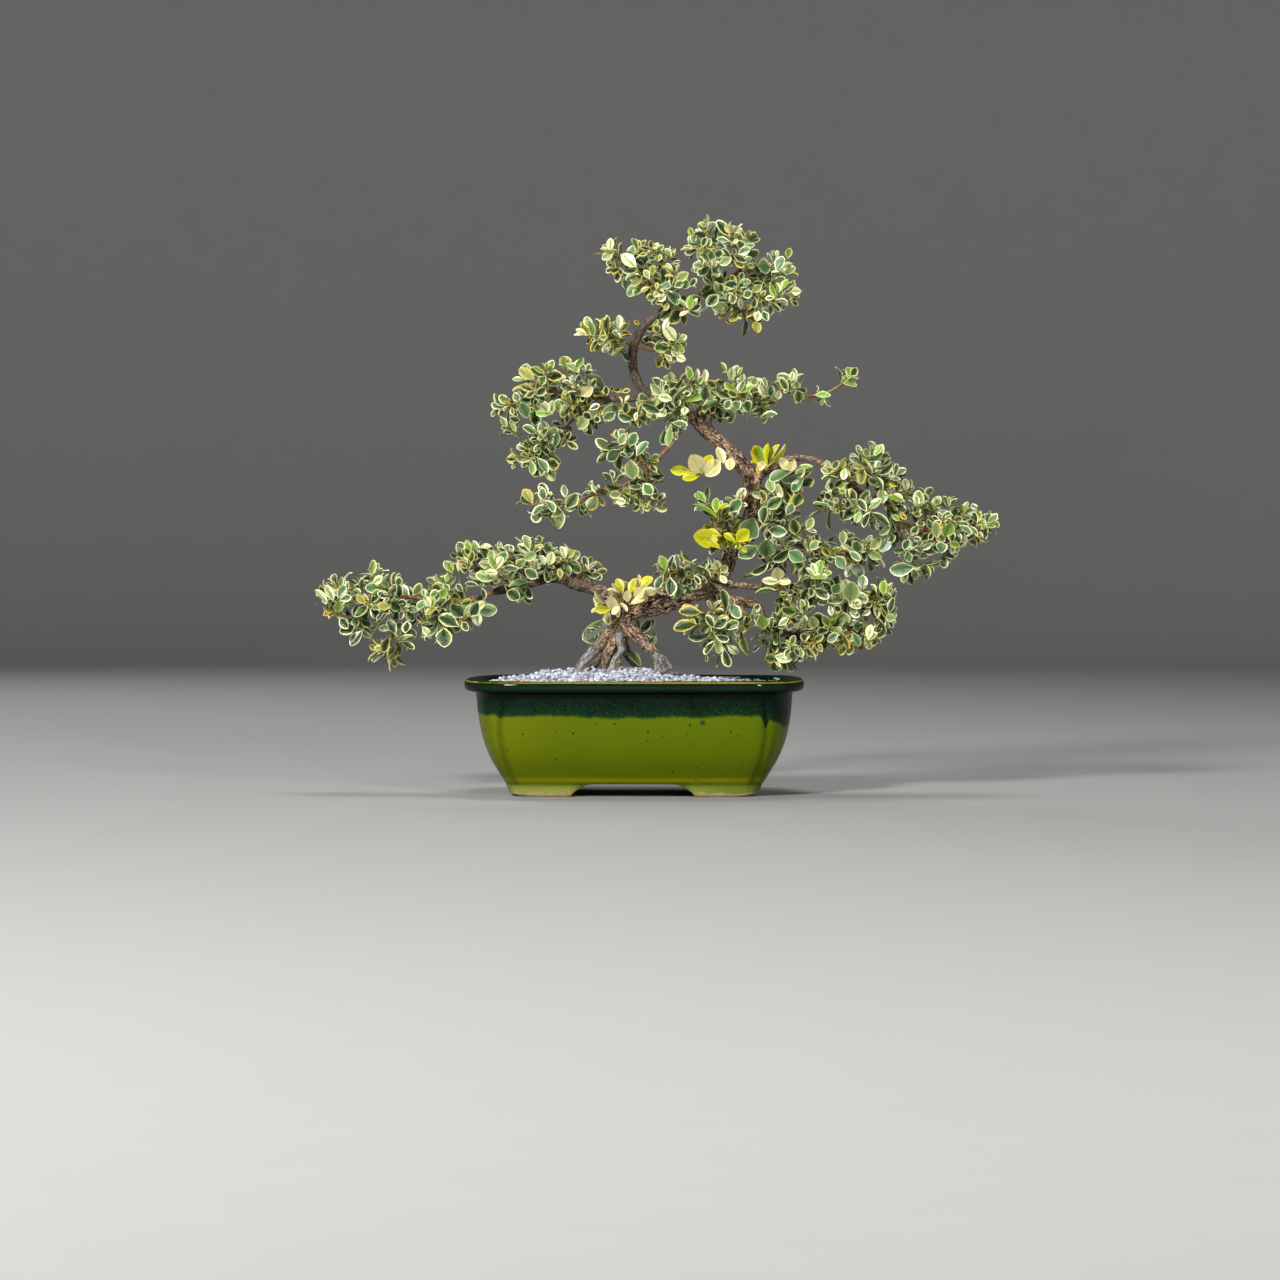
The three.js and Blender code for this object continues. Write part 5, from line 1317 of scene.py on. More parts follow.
def bark_mesh(settings):
    """The wood: tubes melted into one skin, then carved with cracks that run along each limb."""
    skin = Skin()
    spots = []
    for number, (line, radii, pale) in enumerate(limb_lines()):
        points, faces, _ = tube(line, lumpy_radii(line, radii, number * 3.7), LIMB_SIDES)
        skin.add(points, faces)
        for spot in zip(line, radii, pale, run_along(line), guides_along(line)):
            spots.append((*spot, number))
    tree = KDTree(len(spots))
    for place, spot in enumerate(spots):
        tree.insert(Vector(spot[0]), place)
    tree.balance()
    blank = add_object("wood_blank", skin.mesh("wood_blank"))
    voxels = {"mode": "VOXEL", "voxel_size": WOOD_VOXEL * MM, "use_smooth_shade": True}
    wood = remade_mesh("wood", blank, ("REMESH", voxels), ("SMOOTH", SMOOTHING))
    wood.update()
    middle = Vector(PLAN_MIDDLE)
    depth = settings.bark_depth / MM
    places, forms, draws = [], [], []
    for vertex in wood.vertices:
        point = (vertex.co - middle) / MM
        near = tree.find_n(point, 8)
        _, index, _ = min(near, key=lambda found: found[2] / spots[found[1]][1])
        centre, radius, pale, run, (_, across, other), number = spots[index]
        arm = np.array(point) - centre
        side, turn = float(np.dot(arm, across)), float(np.dot(arm, other))
        length = max(math.hypot(side, turn), 1e-6)
        side, turn = side / length * radius, turn / length * radius
        flow = Vector((side * 0.42, turn * 0.42, run * 0.13 + number * 9.1))
        crack = 1 - min(abs(noise.noise(flow)) * 3.4, 1)
        plates = noise.noise(Vector((side * 0.3, turn * 0.3, run * 0.22 + number * 5.3)))
        lump = noise.noise(point * 0.11)
        grain = noise.noise(point * 0.55)
        old = clamped((radius - YOUNG_BARK_RADIUS) / OLD_BARK_GROWTH, 0.12, 1.0)
        shift = -crack**2 * 1.1 + plates * 0.8 + grain * 0.4
        shift = depth * old * shift + lump * radius * 0.09
        places.append(vertex.co + vertex.normal * (shift * MM))
        forms.append((crack, clamped(pale + lump * 0.25 * (pale > 0)), old))
        draws.append((side, turn, run + number * 61.0))
    wood.vertices.foreach_set("co", np.array(places, np.float32).ravel())
    for name, rows in (("form", forms), ("draw", draws)):
        if name in wood.attributes:
            wood.attributes.remove(wood.attributes[name])
        store_vectors(wood, name, rows)
    return wood


def bark_finish(settings):
    """Brown, finely cracked bark with tan flecks, going pale grey where roots meet the gravel."""
    finish = Finish("carissa_bark")
    point = finish.place()
    crack, pale, old = finish.parts(finish.attribute("form"))
    side, turn, run = finish.parts(finish.attribute("draw"))
    grain_place = finish.vector(side * 0.6, turn * 0.6, run * 0.32)
    fibres = finish.noise(grain_place, 2.2, 4.0, 0.65)
    flecks = finish.noise(finish.vector(side * 0.62, turn * 0.62, run * 0.46), 1.0, 4.0, 0.68)
    patches = finish.noise(point, 0.05, 3.0)
    speckle = finish.noise(point, 1.3, 3.0, 0.7)
    # The low limb at the left and the leader are painted darker and greyer, as painted shade.
    x, _, z = finish.parts(point)
    shaded = (1 - x.rise(-46, -16)).most(z.rise(336, 352)) * 0.8
    mossy = (patches * (1 - old)).rise(0.25, 0.6) * 0.35
    brown = finish.coated(
        settings.bark_colour,
        (patches.rise(0.35, 0.65), tint(74, 56, 50)),
        (fibres.rise(0.46, 0.72), tint(142, 114, 96)),
        (flecks.rise(0.48, 0.55), tint(212, 170, 130)),
        (speckle.rise(0.56, 0.63) * 0.9, tint(230, 206, 178)),
        (shaded, tint(58, 48, 44)),
        (mossy, tint(92, 100, 66)),
    )
    rust = (patches + (flecks - 0.5)).rise(0.55, 0.75) * 0.7
    grey = finish.coated(
        tint(96, 92, 86),
        (fibres.rise(0.35, 0.65), tint(178, 178, 174)),
        (speckle.rise(0.5, 0.75) * 0.5, tint(214, 218, 220)),
        (rust, tint(150, 112, 78)),
    )
    worn = (pale + (flecks - 0.5) * 0.7).rise(0.25, 0.75)
    depth = (crack * 0.7 + (1 - fibres) * 0.75).rise(0.56, 0.9) * (0.6 + old * 0.4)
    colour = finish.coated(brown, (worn, grey), (depth, tint(26, 16, 10)))
    height = fibres + flecks * 0.8 + speckle * 0.4
    return finish.wear(colour, 0.62 + fibres * 0.25, height, 0.7)


class BONSAI_OT_wood(bpy.types.Operator):
    """Grows the trunk, its branches and its roots as one skin of bark"""

    bl_idname = "bonsai.wood"
    bl_label = "Trunk and Branches"

    def execute(self, context):
        settings = context.scene.bonsai_wood
        finish = bark_finish(settings)
        wood = bark_mesh(settings)
        wood.materials.clear()
        add_piece("wood", wood, (finish,), ("trunk_and_branches",), 80)
        return {"FINISHED"}


LEAF_ROWS = (-0.1, 0.0, 0.12, 0.3, 0.5, 0.7, 0.86, 0.955)
LEAF_COLUMNS = (-1.0, -0.5, 0.0, 0.5, 1.0)
LEAF_THICKNESS = 0.5
PETIOLE_WIDTH = 1.0
STEM_SPACING = 2.2
# A leaf is widest at this share of its length.
WIDEST = 0.53


def leaf_faces():
    """Faces of a leaf: an upper grid, and a lower side that meets it in a thin edge."""
    rows = len(LEAF_ROWS)
    tip = rows * 5
    under = tip + 1
    faces = [(0, 1, 2, 3, 4, under)]
    for r in range(rows):
        top, low = r * 5, under + r
        last = r == rows - 1
        for c in range(4):
            end = (tip,) if last else (top + c + 5, top + c + 6)
            faces.append((top + c, *end, top + c + 1))
        faces.append((top, low, tip) if last else (top, low, low + 1, top + 5))
        faces.append((top + 4, tip, low) if last else (top + 4, top + 9, low + 1, low))
    return faces


LEAF_FACES = leaf_faces()


def half_width(u, slender):
    """Half the leaf's width at u of its length, 1 at its widest place."""
    if u <= 0:
        return 0.0
    if u < WIDEST:
        return math.sin(math.pi / 2 * u / WIDEST) ** slender
    return max(1 - ((u - WIDEST) / (1 - WIDEST)) ** 2.1, 0) ** 0.62


def leaf_shape(rng, length, width, curl, fold):
    """A leaf along +X with its upper face to +Z: its points and how its surface is laid out."""
    slender = rng.uniform(0.8, 1.1)
    fold = fold + rng.uniform(0.08, 0.4)
    droop = curl * rng.uniform(0.6, 1.2)
    wave = rng.uniform(-1, 1) * 0.06 * length
    phase = rng.uniform(0, 2 * math.pi)
    twist = rng.uniform(-0.4, 0.4)
    lean = rng.uniform(-0.06, 0.06)

    def place(u, v, down):
        half = max(half_width(u, slender) * width / 2, PETIOLE_WIDTH / 2)
        side = v * half
        rise = abs(v) ** 1.5 * half * fold + wave * v * math.sin(2.6 * u * math.pi + phase) * 0.5
        rise -= droop * length * max(u, 0) ** 2
        turn = twist * u
        x = u * length - droop * length * 0.35 * max(u, 0) ** 3
        y = side * math.cos(turn) + lean * length * u * u
        z = rise + side * math.sin(turn) - down
        margin = min((1 - abs(v)) * half, (1 - u) * length * 0.8)
        return (x, y, z), (u, v, margin)

    marks = [place(u, v, 0.0) for u in LEAF_ROWS for v in LEAF_COLUMNS]
    marks.append(place(1.0, 0.0, 0.0))
    for u in LEAF_ROWS:
        marks.append(place(u, 0.0, PETIOLE_WIDTH if u <= 0 else LEAF_THICKNESS))
    points, form = zip(*marks)
    return np.array(points), np.array(form)


def add_leaf(skin, rng, finish, base, way, face, length, width, curl, fold, youth, tone):
    """Adds a leaf that starts at base, runs along way, and turns its upper side to face."""
    points, form = leaf_shape(rng, length, width, curl, fold)
    way = unit(way)
    across = unit(np.cross(face, way))
    up = np.cross(way, across)
    placed = base + np.outer(points[:, 0], way)
    placed = placed + np.outer(points[:, 1], across) + np.outer(points[:, 2], up)
    draw = np.empty((len(points), 3))
    draw[:] = (rng.random(), youth, 0.0)
    draw[-len(LEAF_ROWS) :, 2] = 1.0
    skin.add(placed, LEAF_FACES, finish, form, draw, tone)


def add_stem(skin, line, radii, age, sides=7):
    """Adds a stem with a swelling every few millimetres, as old leaf joints leave."""
    joints = 1 + 0.16 * np.maximum(0, np.sin(run_along(line) * 0.95)) ** 6
    points, faces, along = tube(line, radii * joints, sides)
    ages = np.concatenate((np.repeat(age, sides), (age[0], age[-1])))
    form = np.column_stack((along, ages, np.zeros(len(along))))
    skin.add(points, faces, "twig", form)


def add_thorn(skin, rng, base, way, size):
    """Adds a forked spine, as the plant bears at the joints of its twigs."""
    across = unit(np.cross(way, random_way(rng)))
    split = base + way * size * 0.45
    add_stem(skin, np.array((base, split)), np.array((0.42, 0.34)), np.array((0.6, 0.8)), 4)
    for side in (-1, 1):
        end = split + unit(way + across * side * 0.7) * size * 0.55
        add_stem(skin, np.array((split, end)), np.array((0.32, 0.1)), np.array((0.8, 0.9)), 4)


def twig_line(start, leave, tip, way, bend):
    """A curved line from a stem to a shoot's tip, where it points along way."""
    gap = np.linalg.norm(tip - start)
    one = start + unit(leave) * gap * 0.33
    two = tip - way * gap * 0.36 + bend * gap
    steps = max(3, math.ceil(gap / 2.5))
    t = np.linspace(0, 1, steps + 1)[:, None]
    line = (1 - t) ** 3 * start + 3 * (1 - t) ** 2 * t * one
    return line + 3 * (1 - t) * t**2 * two + t**3 * tip


UP = np.array((0.0, 0.0, 1.0))
# For small, middling and large shoots: pairs of leaves in the rosette, the gap between two
# pairs there, and the size of a leaf.
PAIRS = (3, 4, 4)
PAIR_GAP = (1.9, 2.2, 2.7)
SHOOT_SCALE = (0.84, 1.0, 1.2)
# Older pairs further down stand this far apart and may be gone, and the twig's start is bare.
TWIG_GAP = 6.0
MOST_PAIRS = 12
OLD_PAIR_CHANCE = 0.7
BARE_STALK = 3.0
THORN_CHANCE = 0.4
# A chosen leaf starts this far in front of the foremost shoot that ends this near to it.
FORWARD = 9.0
NEAR_GAP = 15.0


def add_pair(skin, rng, settings, finish, base, axis, turn, spread, scale, youth, tone):
    """Adds two leaves on opposite sides of a shoot."""
    first = unit(np.cross(axis, (0.31, 0.77, 0.55)))
    second = np.cross(axis, first)
    for side in (0, math.pi):
        angle = turn + side + math.radians(rng.uniform(-20, 20))
        out = first * math.cos(angle) + second * math.sin(angle)
        lean = math.radians(spread + rng.uniform(-14, 14))
        way = axis * math.cos(lean) + out * math.sin(lean)
        face = axis * math.sin(lean) - out * math.cos(lean)
        # Leaves turn a little towards the light above them.
        face = unit(face + UP * 0.3 + random_way(rng) * 0.34)
        way = unit(way - UP * 0.06 * scale)
        length = rng.uniform(settings.shortest, settings.longest) / MM * scale
        width = length * settings.width_share * rng.uniform(0.84, 1.12) * (0.72 + 0.28 * scale)
        own = [clamped(rng.gauss(share, 0.18)) for share in tone]
        add_leaf(skin, rng, finish, base + out * 0.5 + way * 0.1 * length, way, face, length,
                 width, rng.uniform(-0.02, 0.22), 0.35 * max(0, 0.8 - scale), youth, own)


def add_shoot(skin, rng, settings, finish, line, size, radii, age, young, tone):
    """Adds a leafy shoot along a line: pairs of leaves that close up into a rosette at its tip."""
    add_stem(skin, line, radii, age)
    run = run_along(line)
    length = run[-1]

    def at(place):
        return np.array([np.interp(place, run, line[:, axis]) for axis in range(3)])

    pairs = PAIRS[size]
    turn = rng.uniform(0, math.pi)
    opening = rng.uniform(0.8, 1.12)
    back = 0.0
    for k in range(MOST_PAIRS):
        # k counts down the shoot from its tip, and the joints get further apart on the way.
        place = length - back
        if place < (BARE_STALK if k >= pairs else 0.0):
            break
        axis = unit(at(min(place + 2, length)) - at(place - 2))
        share = min(k / max(pairs - 1, 1), 1.0)
        spread = (18 + 48 * share**0.8) * opening
        scale = (0.45 + 0.55 * share**0.7) * SHOOT_SCALE[size] * rng.uniform(0.86, 1.12)
        youth = max(0.0, 1 - k / 1.7) * young
        # Leaves further down the shoot are older and a deeper green; the darkening also stands in
        # as painted shade inside the spray.
        age_and_shade = clamped((k - pairs + 2) / 2) * 0.5
        own = (tone[0], tone[1] + age_and_shade, tone[2] - age_and_shade)
        if k < pairs or rng.random() < OLD_PAIR_CHANCE:
            add_pair(skin, rng, settings, finish, at(place), axis, turn + k * math.pi / 2,
                     spread, scale, youth, own)
        back += PAIR_GAP[size] if k < pairs - 1 else TWIG_GAP
    bud = np.array((line[-1], line[-1] + unit(line[-1] - line[-2]) * 2.6))
    add_stem(skin, bud, np.array((0.7, 0.3)), np.array((1.0, 1.0)), 5)


# Each kind of chosen leaf: its finish, its warmth, dark core and pallor, and how young it is. A
# pallor below 0 is painted shade.
LEAF_KINDS = {
    "b": ("variegated", 0.6, 1.0, -0.6, 0.0),
    "c": ("cream", 0.5, 0.2, 0.7, 0.0),
    "d": ("variegated", 0.3, 0.95, 0.05, 0.0),
    "e": ("variegated", 0.9, 0.95, 0.05, 0.0),
    "g": ("variegated", 0.1, 0.4, 0.35, 0.0),
    "l": ("variegated", 0.5, 0.45, 0.2, 0.6),
    "m": ("variegated", 0.95, 0.2, 0.7, 0.1),
    "o": ("variegated", 0.7, 0.7, 0.1, 0.1),
    "p": ("variegated", 0.45, 0.15, 0.75, 0.1),
    "s": ("variegated", 0.6, 1.0, -0.9, 0.0),
    # The whitish kind is partly white variegation, partly a painted highlight.
    "w": ("variegated", 0.35, 0.05, 1.0, 0.0),
    "y": ("yellow", 0.5, 0.5, 0.4, 0.4),
}
# Leaves of this kind turn their underside to the front.
TURNED_AWAY = "b"
FORWARDS = np.array((0.0, -1.0, 0.0))


def add_chosen_leaf(skin, rng, settings, kind, place, depth, lines):
    """Adds a leaf as it shows from the front, on a stalk from the nearest twig."""
    x, z, aside, rise, width = place
    finish, *tone, youth = LEAF_KINDS[kind]
    run = np.array((aside, 0.0, rise))
    seen = np.linalg.norm(run)
    flat = unit(run)
    full = seen * settings.width_share * rng.uniform(0.95, 1.1)
    # A leaf that looks short for its width leans forwards, and one that looks narrow is turned
    # about its length.
    length = max(seen, min(width / settings.width_share, 1.7 * seen))
    lean = math.acos(seen / length) + rng.uniform(-0.12, 0.22)
    turn = math.acos(min(width / full, 1)) * (1 if rng.random() < 0.75 else -1)
    side = unit(np.cross(flat, FORWARDS))
    side = side if side[2] > 0 else -side
    way = flat * math.cos(lean) + FORWARDS * math.sin(lean)
    face = FORWARDS * math.cos(turn) + side * math.sin(turn)
    face = -face if kind == TURNED_AWAY else face
    # Large leaves stand behind small ones.
    base = np.array((x, depth + (width - 8) * 0.25 + rng.uniform(-1.5, 1.5), z))
    add_leaf(skin, rng, finish, base, way, face, length, max(width, full * 0.9),
             rng.uniform(0.0, 0.1), 0.1, youth, tone)
    start = min((point for line in lines for point in line[1:]),
                key=lambda point: np.sum((point - base) ** 2))
    stalk = twig_line(start, way + UP * 0.3, base, way, random_way(rng) * 0.05)
    add_stem(skin, stalk, np.linspace(0.62, 0.48, len(stalk)), np.full(len(stalk), 0.8), 5)


def front_depth(shoots, x, z):
    """How far forward the shoots come near a place that is seen from the front."""
    gaps = [(math.hypot(shoot[0] - x, shoot[2] - z), shoot[1]) for shoot in shoots]
    near = [depth for gap, depth in gaps if gap < NEAR_GAP]
    return min(near) if near else min(gaps)[1]


def nearest_place(lines, mark):
    """Where the stems come nearest to a point: the gap, the stem, its ways and the place on it."""
    best = None
    for line, ways in lines:
        gaps = np.linalg.norm(line - mark, axis=1)
        k = int(np.argmin(gaps))
        if best is None or gaps[k] < best[0]:
            best = (gaps[k], line, ways, k)
    return best


def spray_skin(name, settings):
    """One spray: its woody stems, its twigs and all their leaves."""
    finish, fork, stems, shoots = SPRAYS[name]
    rng = random.Random(f"{name} {settings.seed}")
    skin = Skin()
    lines, twigs = [], []
    for stem in stems:
        start = fork if not lines else min(
            (point for line, _ in lines for point in line),
            key=lambda point: np.linalg.norm(point - stem[0]),
        )
        onward = [point for point in stem if np.linalg.norm(np.subtract(point, start)) > 1]
        line, shares = smooth_line([start, *onward], STEM_SPACING)
        share = shares / shares[-1]
        wobble = np.array([noise.noise_vector(Vector(point) * 0.09) for point in line])
        line = line + wobble * (0.9 * np.minimum(share, 1 - share) * 2)[:, None]
        add_stem(skin, line, 1.9 - 0.8 * share, 0.1 + 0.5 * share, 8)
        lines.append((line, np.gradient(line, axis=0)))
    for x, y, z, size in shoots:
        mark = np.array((x, y, z), float)
        gap, line, ways, k = nearest_place(lines, mark)
        # A twig leaves its stem a little before the place nearest to its tip.
        k = max(0, k - int(0.3 * gap / STEM_SPACING))
        start = line[k]
        way = unit(0.9 * unit(mark - start) + 0.55 * UP + 0.15 * random_way(rng))
        tip = mark - way * (3 + 0.5 * size)
        leave = unit(unit(ways[k]) * 0.6 + unit(tip - start) * 0.8 + UP * 0.1)
        twig = twig_line(start, leave, tip, way, random_way(rng) * 0.07)
        share = np.linspace(0, 1, len(twig))
        young = rng.random() ** 1.6
        tone = (rng.uniform(0.0, 0.68), rng.uniform(0.0, 0.9), rng.uniform(0.15, 1.0))
        add_shoot(skin, rng, settings, finish, twig, size, 1.1 - 0.5 * share,
                  0.55 + 0.45 * share, young, tone)
        twigs.append(twig)
        if rng.random() < THORN_CHANCE and len(twig) > 6:
            k = rng.randrange(2, len(twig) - 3)
            add_thorn(skin, rng, twig[k], unit(random_way(rng) + UP * 0.4), rng.uniform(5, 8))
    twigs.extend(line for line, _ in lines)
    for kind, numbers in CHOSEN_LEAVES.get(name, {}).items():
        for place in zip(*[iter(numbers)] * 5):
            depth = front_depth(shoots, place[0], place[1]) - FORWARD
            add_chosen_leaf(skin, rng, settings, kind, place, depth, twigs)
    return skin


# For each finish: dark centre, middle green, pale field, warm field, cool field, margin, warm
# margin, young leaf and underside.
LEAF_TONES = {
    "variegated": (
        (10, 32, 12), (58, 92, 28), (162, 186, 112), (184, 178, 74), (106, 150, 112),
        (244, 240, 186), (220, 190, 74), (138, 186, 4), (92, 110, 60),
    ),
    "cream": (
        (158, 160, 78), (194, 190, 110), (236, 224, 172), (238, 206, 96), (214, 210, 158),
        (250, 238, 194), (228, 192, 60), (222, 204, 44), (190, 176, 104),
    ),
    "yellow": (
        (78, 112, 8), (162, 172, 2), (216, 203, 6), (226, 200, 2), (180, 190, 14),
        (232, 215, 46), (222, 190, 12), (205, 202, 0), (180, 174, 40),
    ),
}


def leaf_finish(kind):
    """A leaf with a feathered green middle, paler fields between its veins and a cream margin."""
    tones = (tint(*tone) for tone in LEAF_TONES[kind])
    dark, middle, pale, warm, cool, cream, gold, young, back = tones
    finish = Finish(f"{kind}_leaf", Specular_IOR_Level=0.8)
    u, v, margin = finish.parts(finish.attribute("form"))
    seed, youth, side = finish.parts(finish.attribute("draw"))
    warmth, core, pallor_and_shade = finish.parts(finish.attribute("tone"))
    across = abs(v)
    vein = u - across * 0.28
    third = (seed * 71.3).fraction()
    streak = finish.noise(finish.vector(vein * 17.0, v * 1.4, seed * 60), 1.0, 2.0, 0.6)
    patch = finish.noise(finish.vector(u * 1.7, v * 0.9, seed * 90), 1.3, 2.0)
    fine = finish.noise(finish.vector(u * 16.0, v * 8.0, seed * 30), 1.6, 3.0, 0.6)
    # The middle field is green, and feathers out along the side veins.
    reach = across + (streak - 0.5) + (patch - 0.5) * 1.1 + (u - 0.5) * 0.25
    green = 1 - reach.rise(0.3 + core * 0.3, 0.5 + core * 0.35)
    heart = (1 - (reach + (1 - core) * 0.5).rise(0.3, 0.5)) * core.rise(0.3, 0.7)
    width = 0.35 + third * 0.75 + (patch - 0.5) * 1.6 + (streak - 0.5) * 1.1
    rim = 1 - (margin - width).rise(-0.2, 0.25)
    edge = finish.mix((warmth + (third - 0.5) * 0.6).rise(0.5, 0.9), cream, gold)
    # A pallor below 0 paints leaves that hang in the shade dull and dark: painted shade.
    shaded = (0 - pallor_and_shade).rise(0.0, 1.0)
    midrib = (1 - across.rise(0.03, 0.09)) * (1 - u.rise(0.75, 0.95))
    stalk = 1 - u.rise(-0.02, 0.05)
    colour = finish.coated(
        pale,
        (warmth.rise(0.6, 0.95) * 0.7, warm),
        ((1 - warmth).rise(0.55, 0.9) * 0.8, cool),
        (patch.rise(0.35, 0.7) * (1 - pallor_and_shade) * 0.6, middle),
        (green * (1 - pallor_and_shade * 0.75), middle),
        (heart, dark),
        ((fine - 0.5).rise(0.0, 0.25) * 0.2, pale),
        # Very pale leaves whiten their field to cream: partly white variegation, partly a painted
        # highlight.
        (pallor_and_shade.rise(0.8, 1.0) * reach.rise(0.1, 0.4) * 0.75, cream),
        (rim, edge),
        (youth.rise(0.15, 0.9) * (0.85 - rim * 0.4), young),
        (side * (1 - rim * 0.7) * 0.75, back),
        (shaded * 0.75, tint(54, 60, 34)),
        (midrib * 0.4, back),
        (stalk, tint(176, 170, 86)),
    )
    ridge = (vein * 9.0).fraction().hump(0.5, 0.16) * across.rise(0.05, 0.2)
    height = ridge * 0.5 - midrib * 1.2 + fine * 0.35 + patch
    return finish.wear(colour, 0.24 + fine * 0.14 + side * 0.2, height, 0.22)


def stem_finish():
    """Twigs: brown and corky where they are old, green and smooth near their tips."""
    finish = Finish("carissa_twig")
    point = finish.place()
    along, age, _ = finish.parts(finish.attribute("form"))
    spots = finish.noise(point, 0.9, 3.0, 0.6)
    corky = finish.noise(point, 0.25, 3.0)
    brown = finish.mix(spots.rise(0.4, 0.68), tint(92, 64, 46), tint(160, 116, 74))
    green = finish.mix(spots.rise(0.35, 0.7), tint(112, 122, 40), tint(168, 164, 74))
    rings = (along * 0.152).fraction().hump(0.5, 0.09)
    colour = finish.coated(
        brown,
        ((age + (corky - 0.5) * 0.5).rise(0.4, 0.85), green),
        (rings * 0.5, tint(74, 50, 36)),
    )
    return finish.wear(colour, 0.55 + spots * 0.2, spots + corky, 0.3)


class BONSAI_OT_leaves(bpy.types.Operator):
    """Grows every spray of twigs and variegated leaves"""

    bl_idname = "bonsai.leaves"
    bl_label = "Leafy Sprays"

    def execute(self, context):
        settings = context.scene.bonsai_leaves
        finishes = {kind: leaf_finish(kind) for kind in LEAF_TONES}
        finishes["twig"] = stem_finish()
        for name, (kind, *_) in SPRAYS.items():
            skin = spray_skin(name, settings)
            add_piece(f"leaves_{name}", skin.mesh(name), [finishes[key] for key in skin.used()],
                      (f"spray_{name}",), 75)
        return {"FINISHED"}


COVE_RADIUS = 5.2
COVE_CURVE = 1.4
COVE_HEIGHT = 4.5
COVE_SIDES = 96
COVE_STEPS = 24
# The floor's darker patches have this share of its colour.
FLOOR_SHADE = 0.96
LENS = 117.6
SENSOR = 36.0
CAMERA_SIDE_ANGLE = 1.4
CAMERA_TURN = 1.326
CAMERA_PITCH = 1.40
# Each light: its place and its target in metres from the pot's foot, its size and its power.
LIGHTS = (
    ("key_light", (-1.5, -2.8, 1.9), (0, 0, 0.26), (0.5, 0.55), 158),
    ("fill_light", (1.5, -2.8, 1.3), (0, 0, 0.25), (0.25, 0.9), 44),
    ("top_light", (0.1, 0.4, 2.9), (0, 0, 0.2), (1.0, 0.8), 38),
    ("back_light", (-1.5, 2.5, 1.8), (0, 0, 0.28), (0.9, 0.9), 24),
)
AIR_COLOUR = (1.0, 0.99, 0.96, 1.0)
AIR_STRENGTH = 0.05


def cove_mesh():
    """A round floor that curves up into a wall, open at the top."""
    flat = COVE_RADIUS - COVE_CURVE
    profile = [(radius, 0.0) for radius in (0.4, 1.2, 2.4, flat - 0.5, flat - 0.1, flat)]
    for k in range(1, COVE_STEPS + 1):
        angle = math.pi / 2 * k / COVE_STEPS
        profile.append((
            flat + COVE_CURVE * math.sin(angle), COVE_CURVE * (1 - math.cos(angle))
        ))
    profile.append((COVE_RADIUS, COVE_HEIGHT))
    points = [(0.0, 0.0, 0.0)]
    for radius, height in profile:
        for k in range(COVE_SIDES):
            angle = 2 * math.pi * k / COVE_SIDES
            points.append((radius * math.cos(angle), radius * math.sin(angle), height))
    faces = [(0, 1 + k, 1 + (k + 1) % COVE_SIDES) for k in range(COVE_SIDES)]
    for r in range(len(profile) - 1):
        low, high = 1 + r * COVE_SIDES, 1 + (r + 1) * COVE_SIDES
        for k in range(COVE_SIDES):
            after = (k + 1) % COVE_SIDES
            faces.append((low + k, high + k, high + after, low + after))
    mesh = bpy.data.meshes.new("paper_floor")
    mesh.from_pydata(points, [], faces)
    mesh.polygons.foreach_set("use_smooth", [True] * len(mesh.polygons))
    return mesh


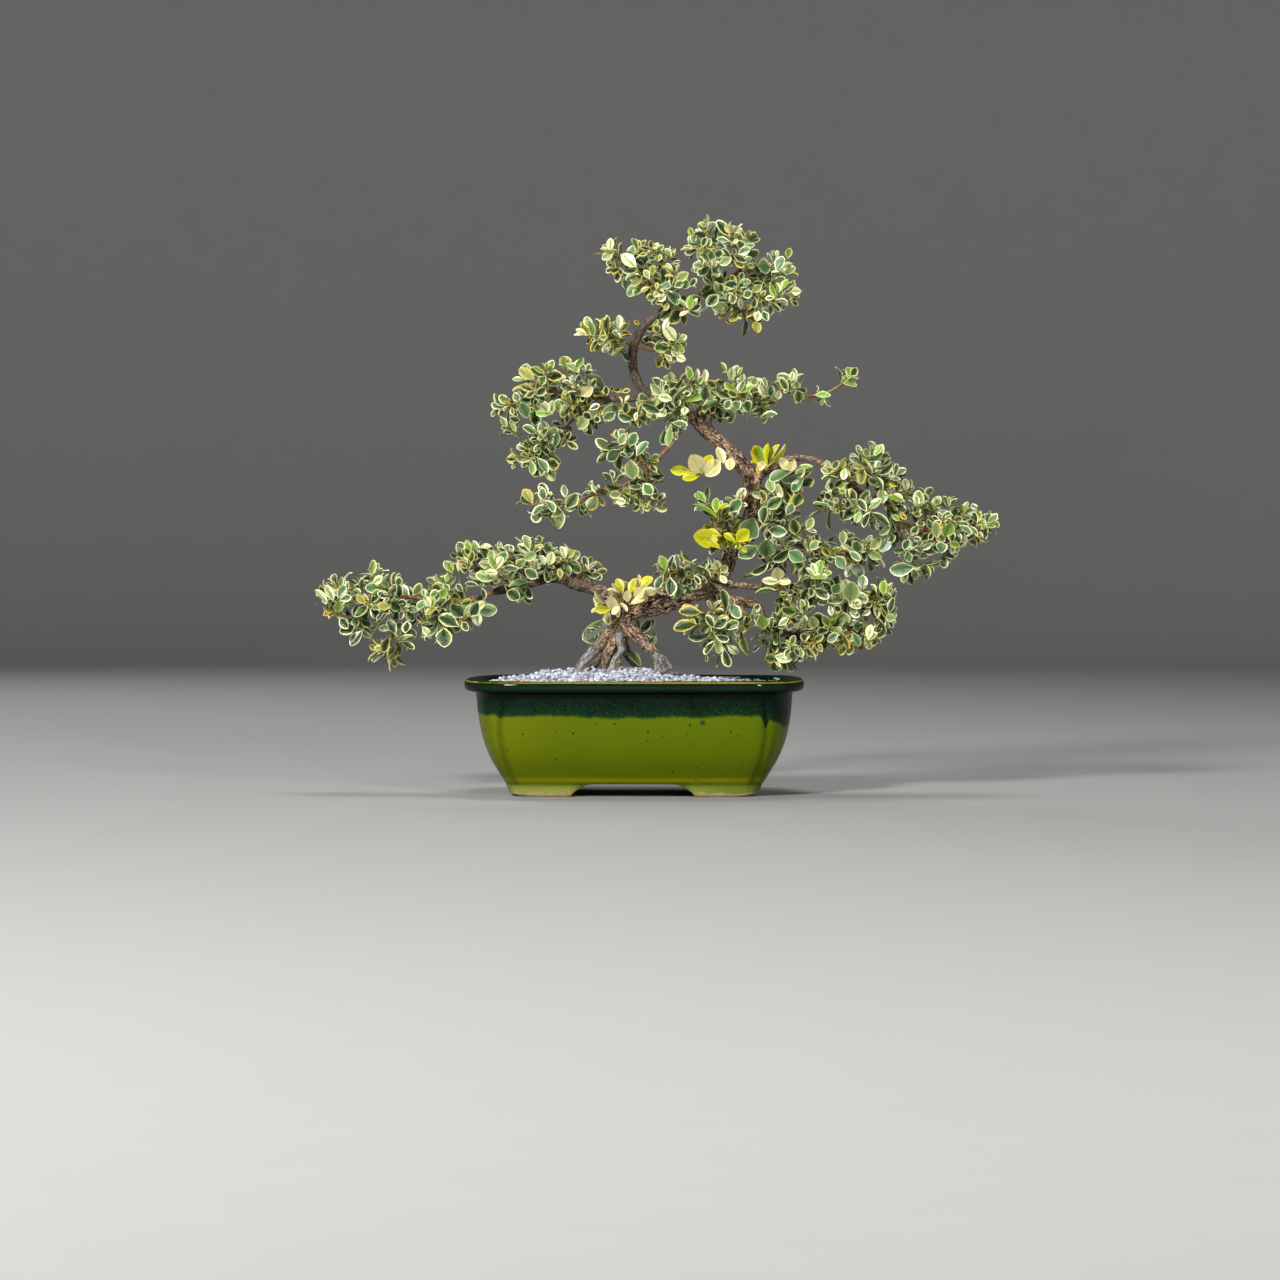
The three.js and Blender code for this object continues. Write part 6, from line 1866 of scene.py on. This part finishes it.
class BONSAI_OT_stage(bpy.types.Operator):
    """Sets the pale floor, the soft lights and the camera"""

    bl_idname = "bonsai.stage"
    bl_label = "Floor, Lights and Camera"

    def execute(self, context):
        scene = context.scene
        settings = scene.bonsai_stage
        paper = Finish("paper", Roughness=0.8)
        grain = paper.noise(paper.place(), 0.02, 3.0)
        shade = [share * FLOOR_SHADE for share in settings.floor_colour]
        paper.wear(paper.mix(grain, shade, settings.floor_colour))
        mesh = cove_mesh()
        mesh.materials.append(paper.material)
        floor = add_object("paper_floor", mesh)
        floor.location = PLAN_MIDDLE
        middle = Vector(PLAN_MIDDLE)
        for name, place, target, size, power in LIGHTS:
            light = bpy.data.lights.new(name, "AREA")
            light.shape = "RECTANGLE"
            light.size, light.size_y = size
            light.energy = power
            lamp = add_object(name, light)
            lamp.location = middle + Vector(place)
            way = Vector(target) - Vector(place)
            lamp.rotation_euler = way.to_track_quat("-Z", "Y").to_euler()
        world = bpy.data.worlds.new("studio")
        world.use_nodes = True
        background = world.node_tree.nodes["Background"]
        background.inputs["Color"].default_value = AIR_COLOUR
        background.inputs["Strength"].default_value = AIR_STRENGTH
        scene.world = world
        camera = bpy.data.cameras.new("photo_camera")
        camera.lens = LENS
        camera.sensor_width = SENSOR
        camera.sensor_fit = "HORIZONTAL"
        camera.clip_end = 60
        viewer = add_object("photo_camera", camera)
        angle = math.radians(CAMERA_SIDE_ANGLE)
        viewer.location = middle + Vector((
            math.sin(angle) * settings.camera_distance,
            -math.cos(angle) * settings.camera_distance,
            settings.camera_height,
        ))
        viewer.rotation_euler = (
            math.radians(90 - CAMERA_PITCH), 0.0, math.radians(CAMERA_TURN)
        )
        scene.camera = viewer
        scene.view_settings.view_transform = "Standard"
        return {"FINISHED"}


class BONSAI_PT_panel(bpy.types.Panel):
    """Lists the bonsai's pieces and their settings"""

    bl_idname = "BONSAI_PT_panel"
    bl_label = "Natal Plum Bonsai"
    bl_space_type = "VIEW_3D"
    bl_region_type = "UI"
    bl_category = "Bonsai"

    def draw(self, context):
        scene = context.scene
        for operator, group in STEPS:
            box = self.layout.box()
            box.operator(operator.bl_idname)
            settings = getattr(scene, group, None) if group else None
            if settings:
                for name in settings.bl_rna.properties.keys():
                    if name not in ("rna_type", "name"):
                        box.prop(settings, name)


# Each step of the making with the settings that it reads, in order.
STEPS = (
    (BONSAI_OT_stage, "bonsai_stage"),
    (BONSAI_OT_pot, "bonsai_pot"),
    (BONSAI_OT_filling, ""),
    (BONSAI_OT_gravel, "bonsai_gravel"),
    (BONSAI_OT_wood, "bonsai_wood"),
    (BONSAI_OT_leaves, "bonsai_leaves"),
)
GROUPS = {
    "bonsai_pot": BonsaiPotSettings,
    "bonsai_gravel": BonsaiGravelSettings,
    "bonsai_wood": BonsaiWoodSettings,
    "bonsai_leaves": BonsaiLeafSettings,
    "bonsai_stage": BonsaiStageSettings,
}
CLASSES = (*GROUPS.values(), *(operator for operator, _ in STEPS), BONSAI_PT_panel)


def register():
    for item in CLASSES:
        bpy.utils.register_class(item)
    for name, group in GROUPS.items():
        setattr(bpy.types.Scene, name, PointerProperty(type=group))


def unregister():
    for name in GROUPS:
        delattr(bpy.types.Scene, name)
    for item in reversed(CLASSES):
        bpy.utils.unregister_class(item)


def main():
    register()
    bpy.ops.bonsai.stage()
    bpy.ops.bonsai.pot()
    bpy.ops.bonsai.filling()
    bpy.ops.bonsai.gravel()
    bpy.ops.bonsai.wood()
    bpy.ops.bonsai.leaves()


if __name__ == "__main__":
    main()
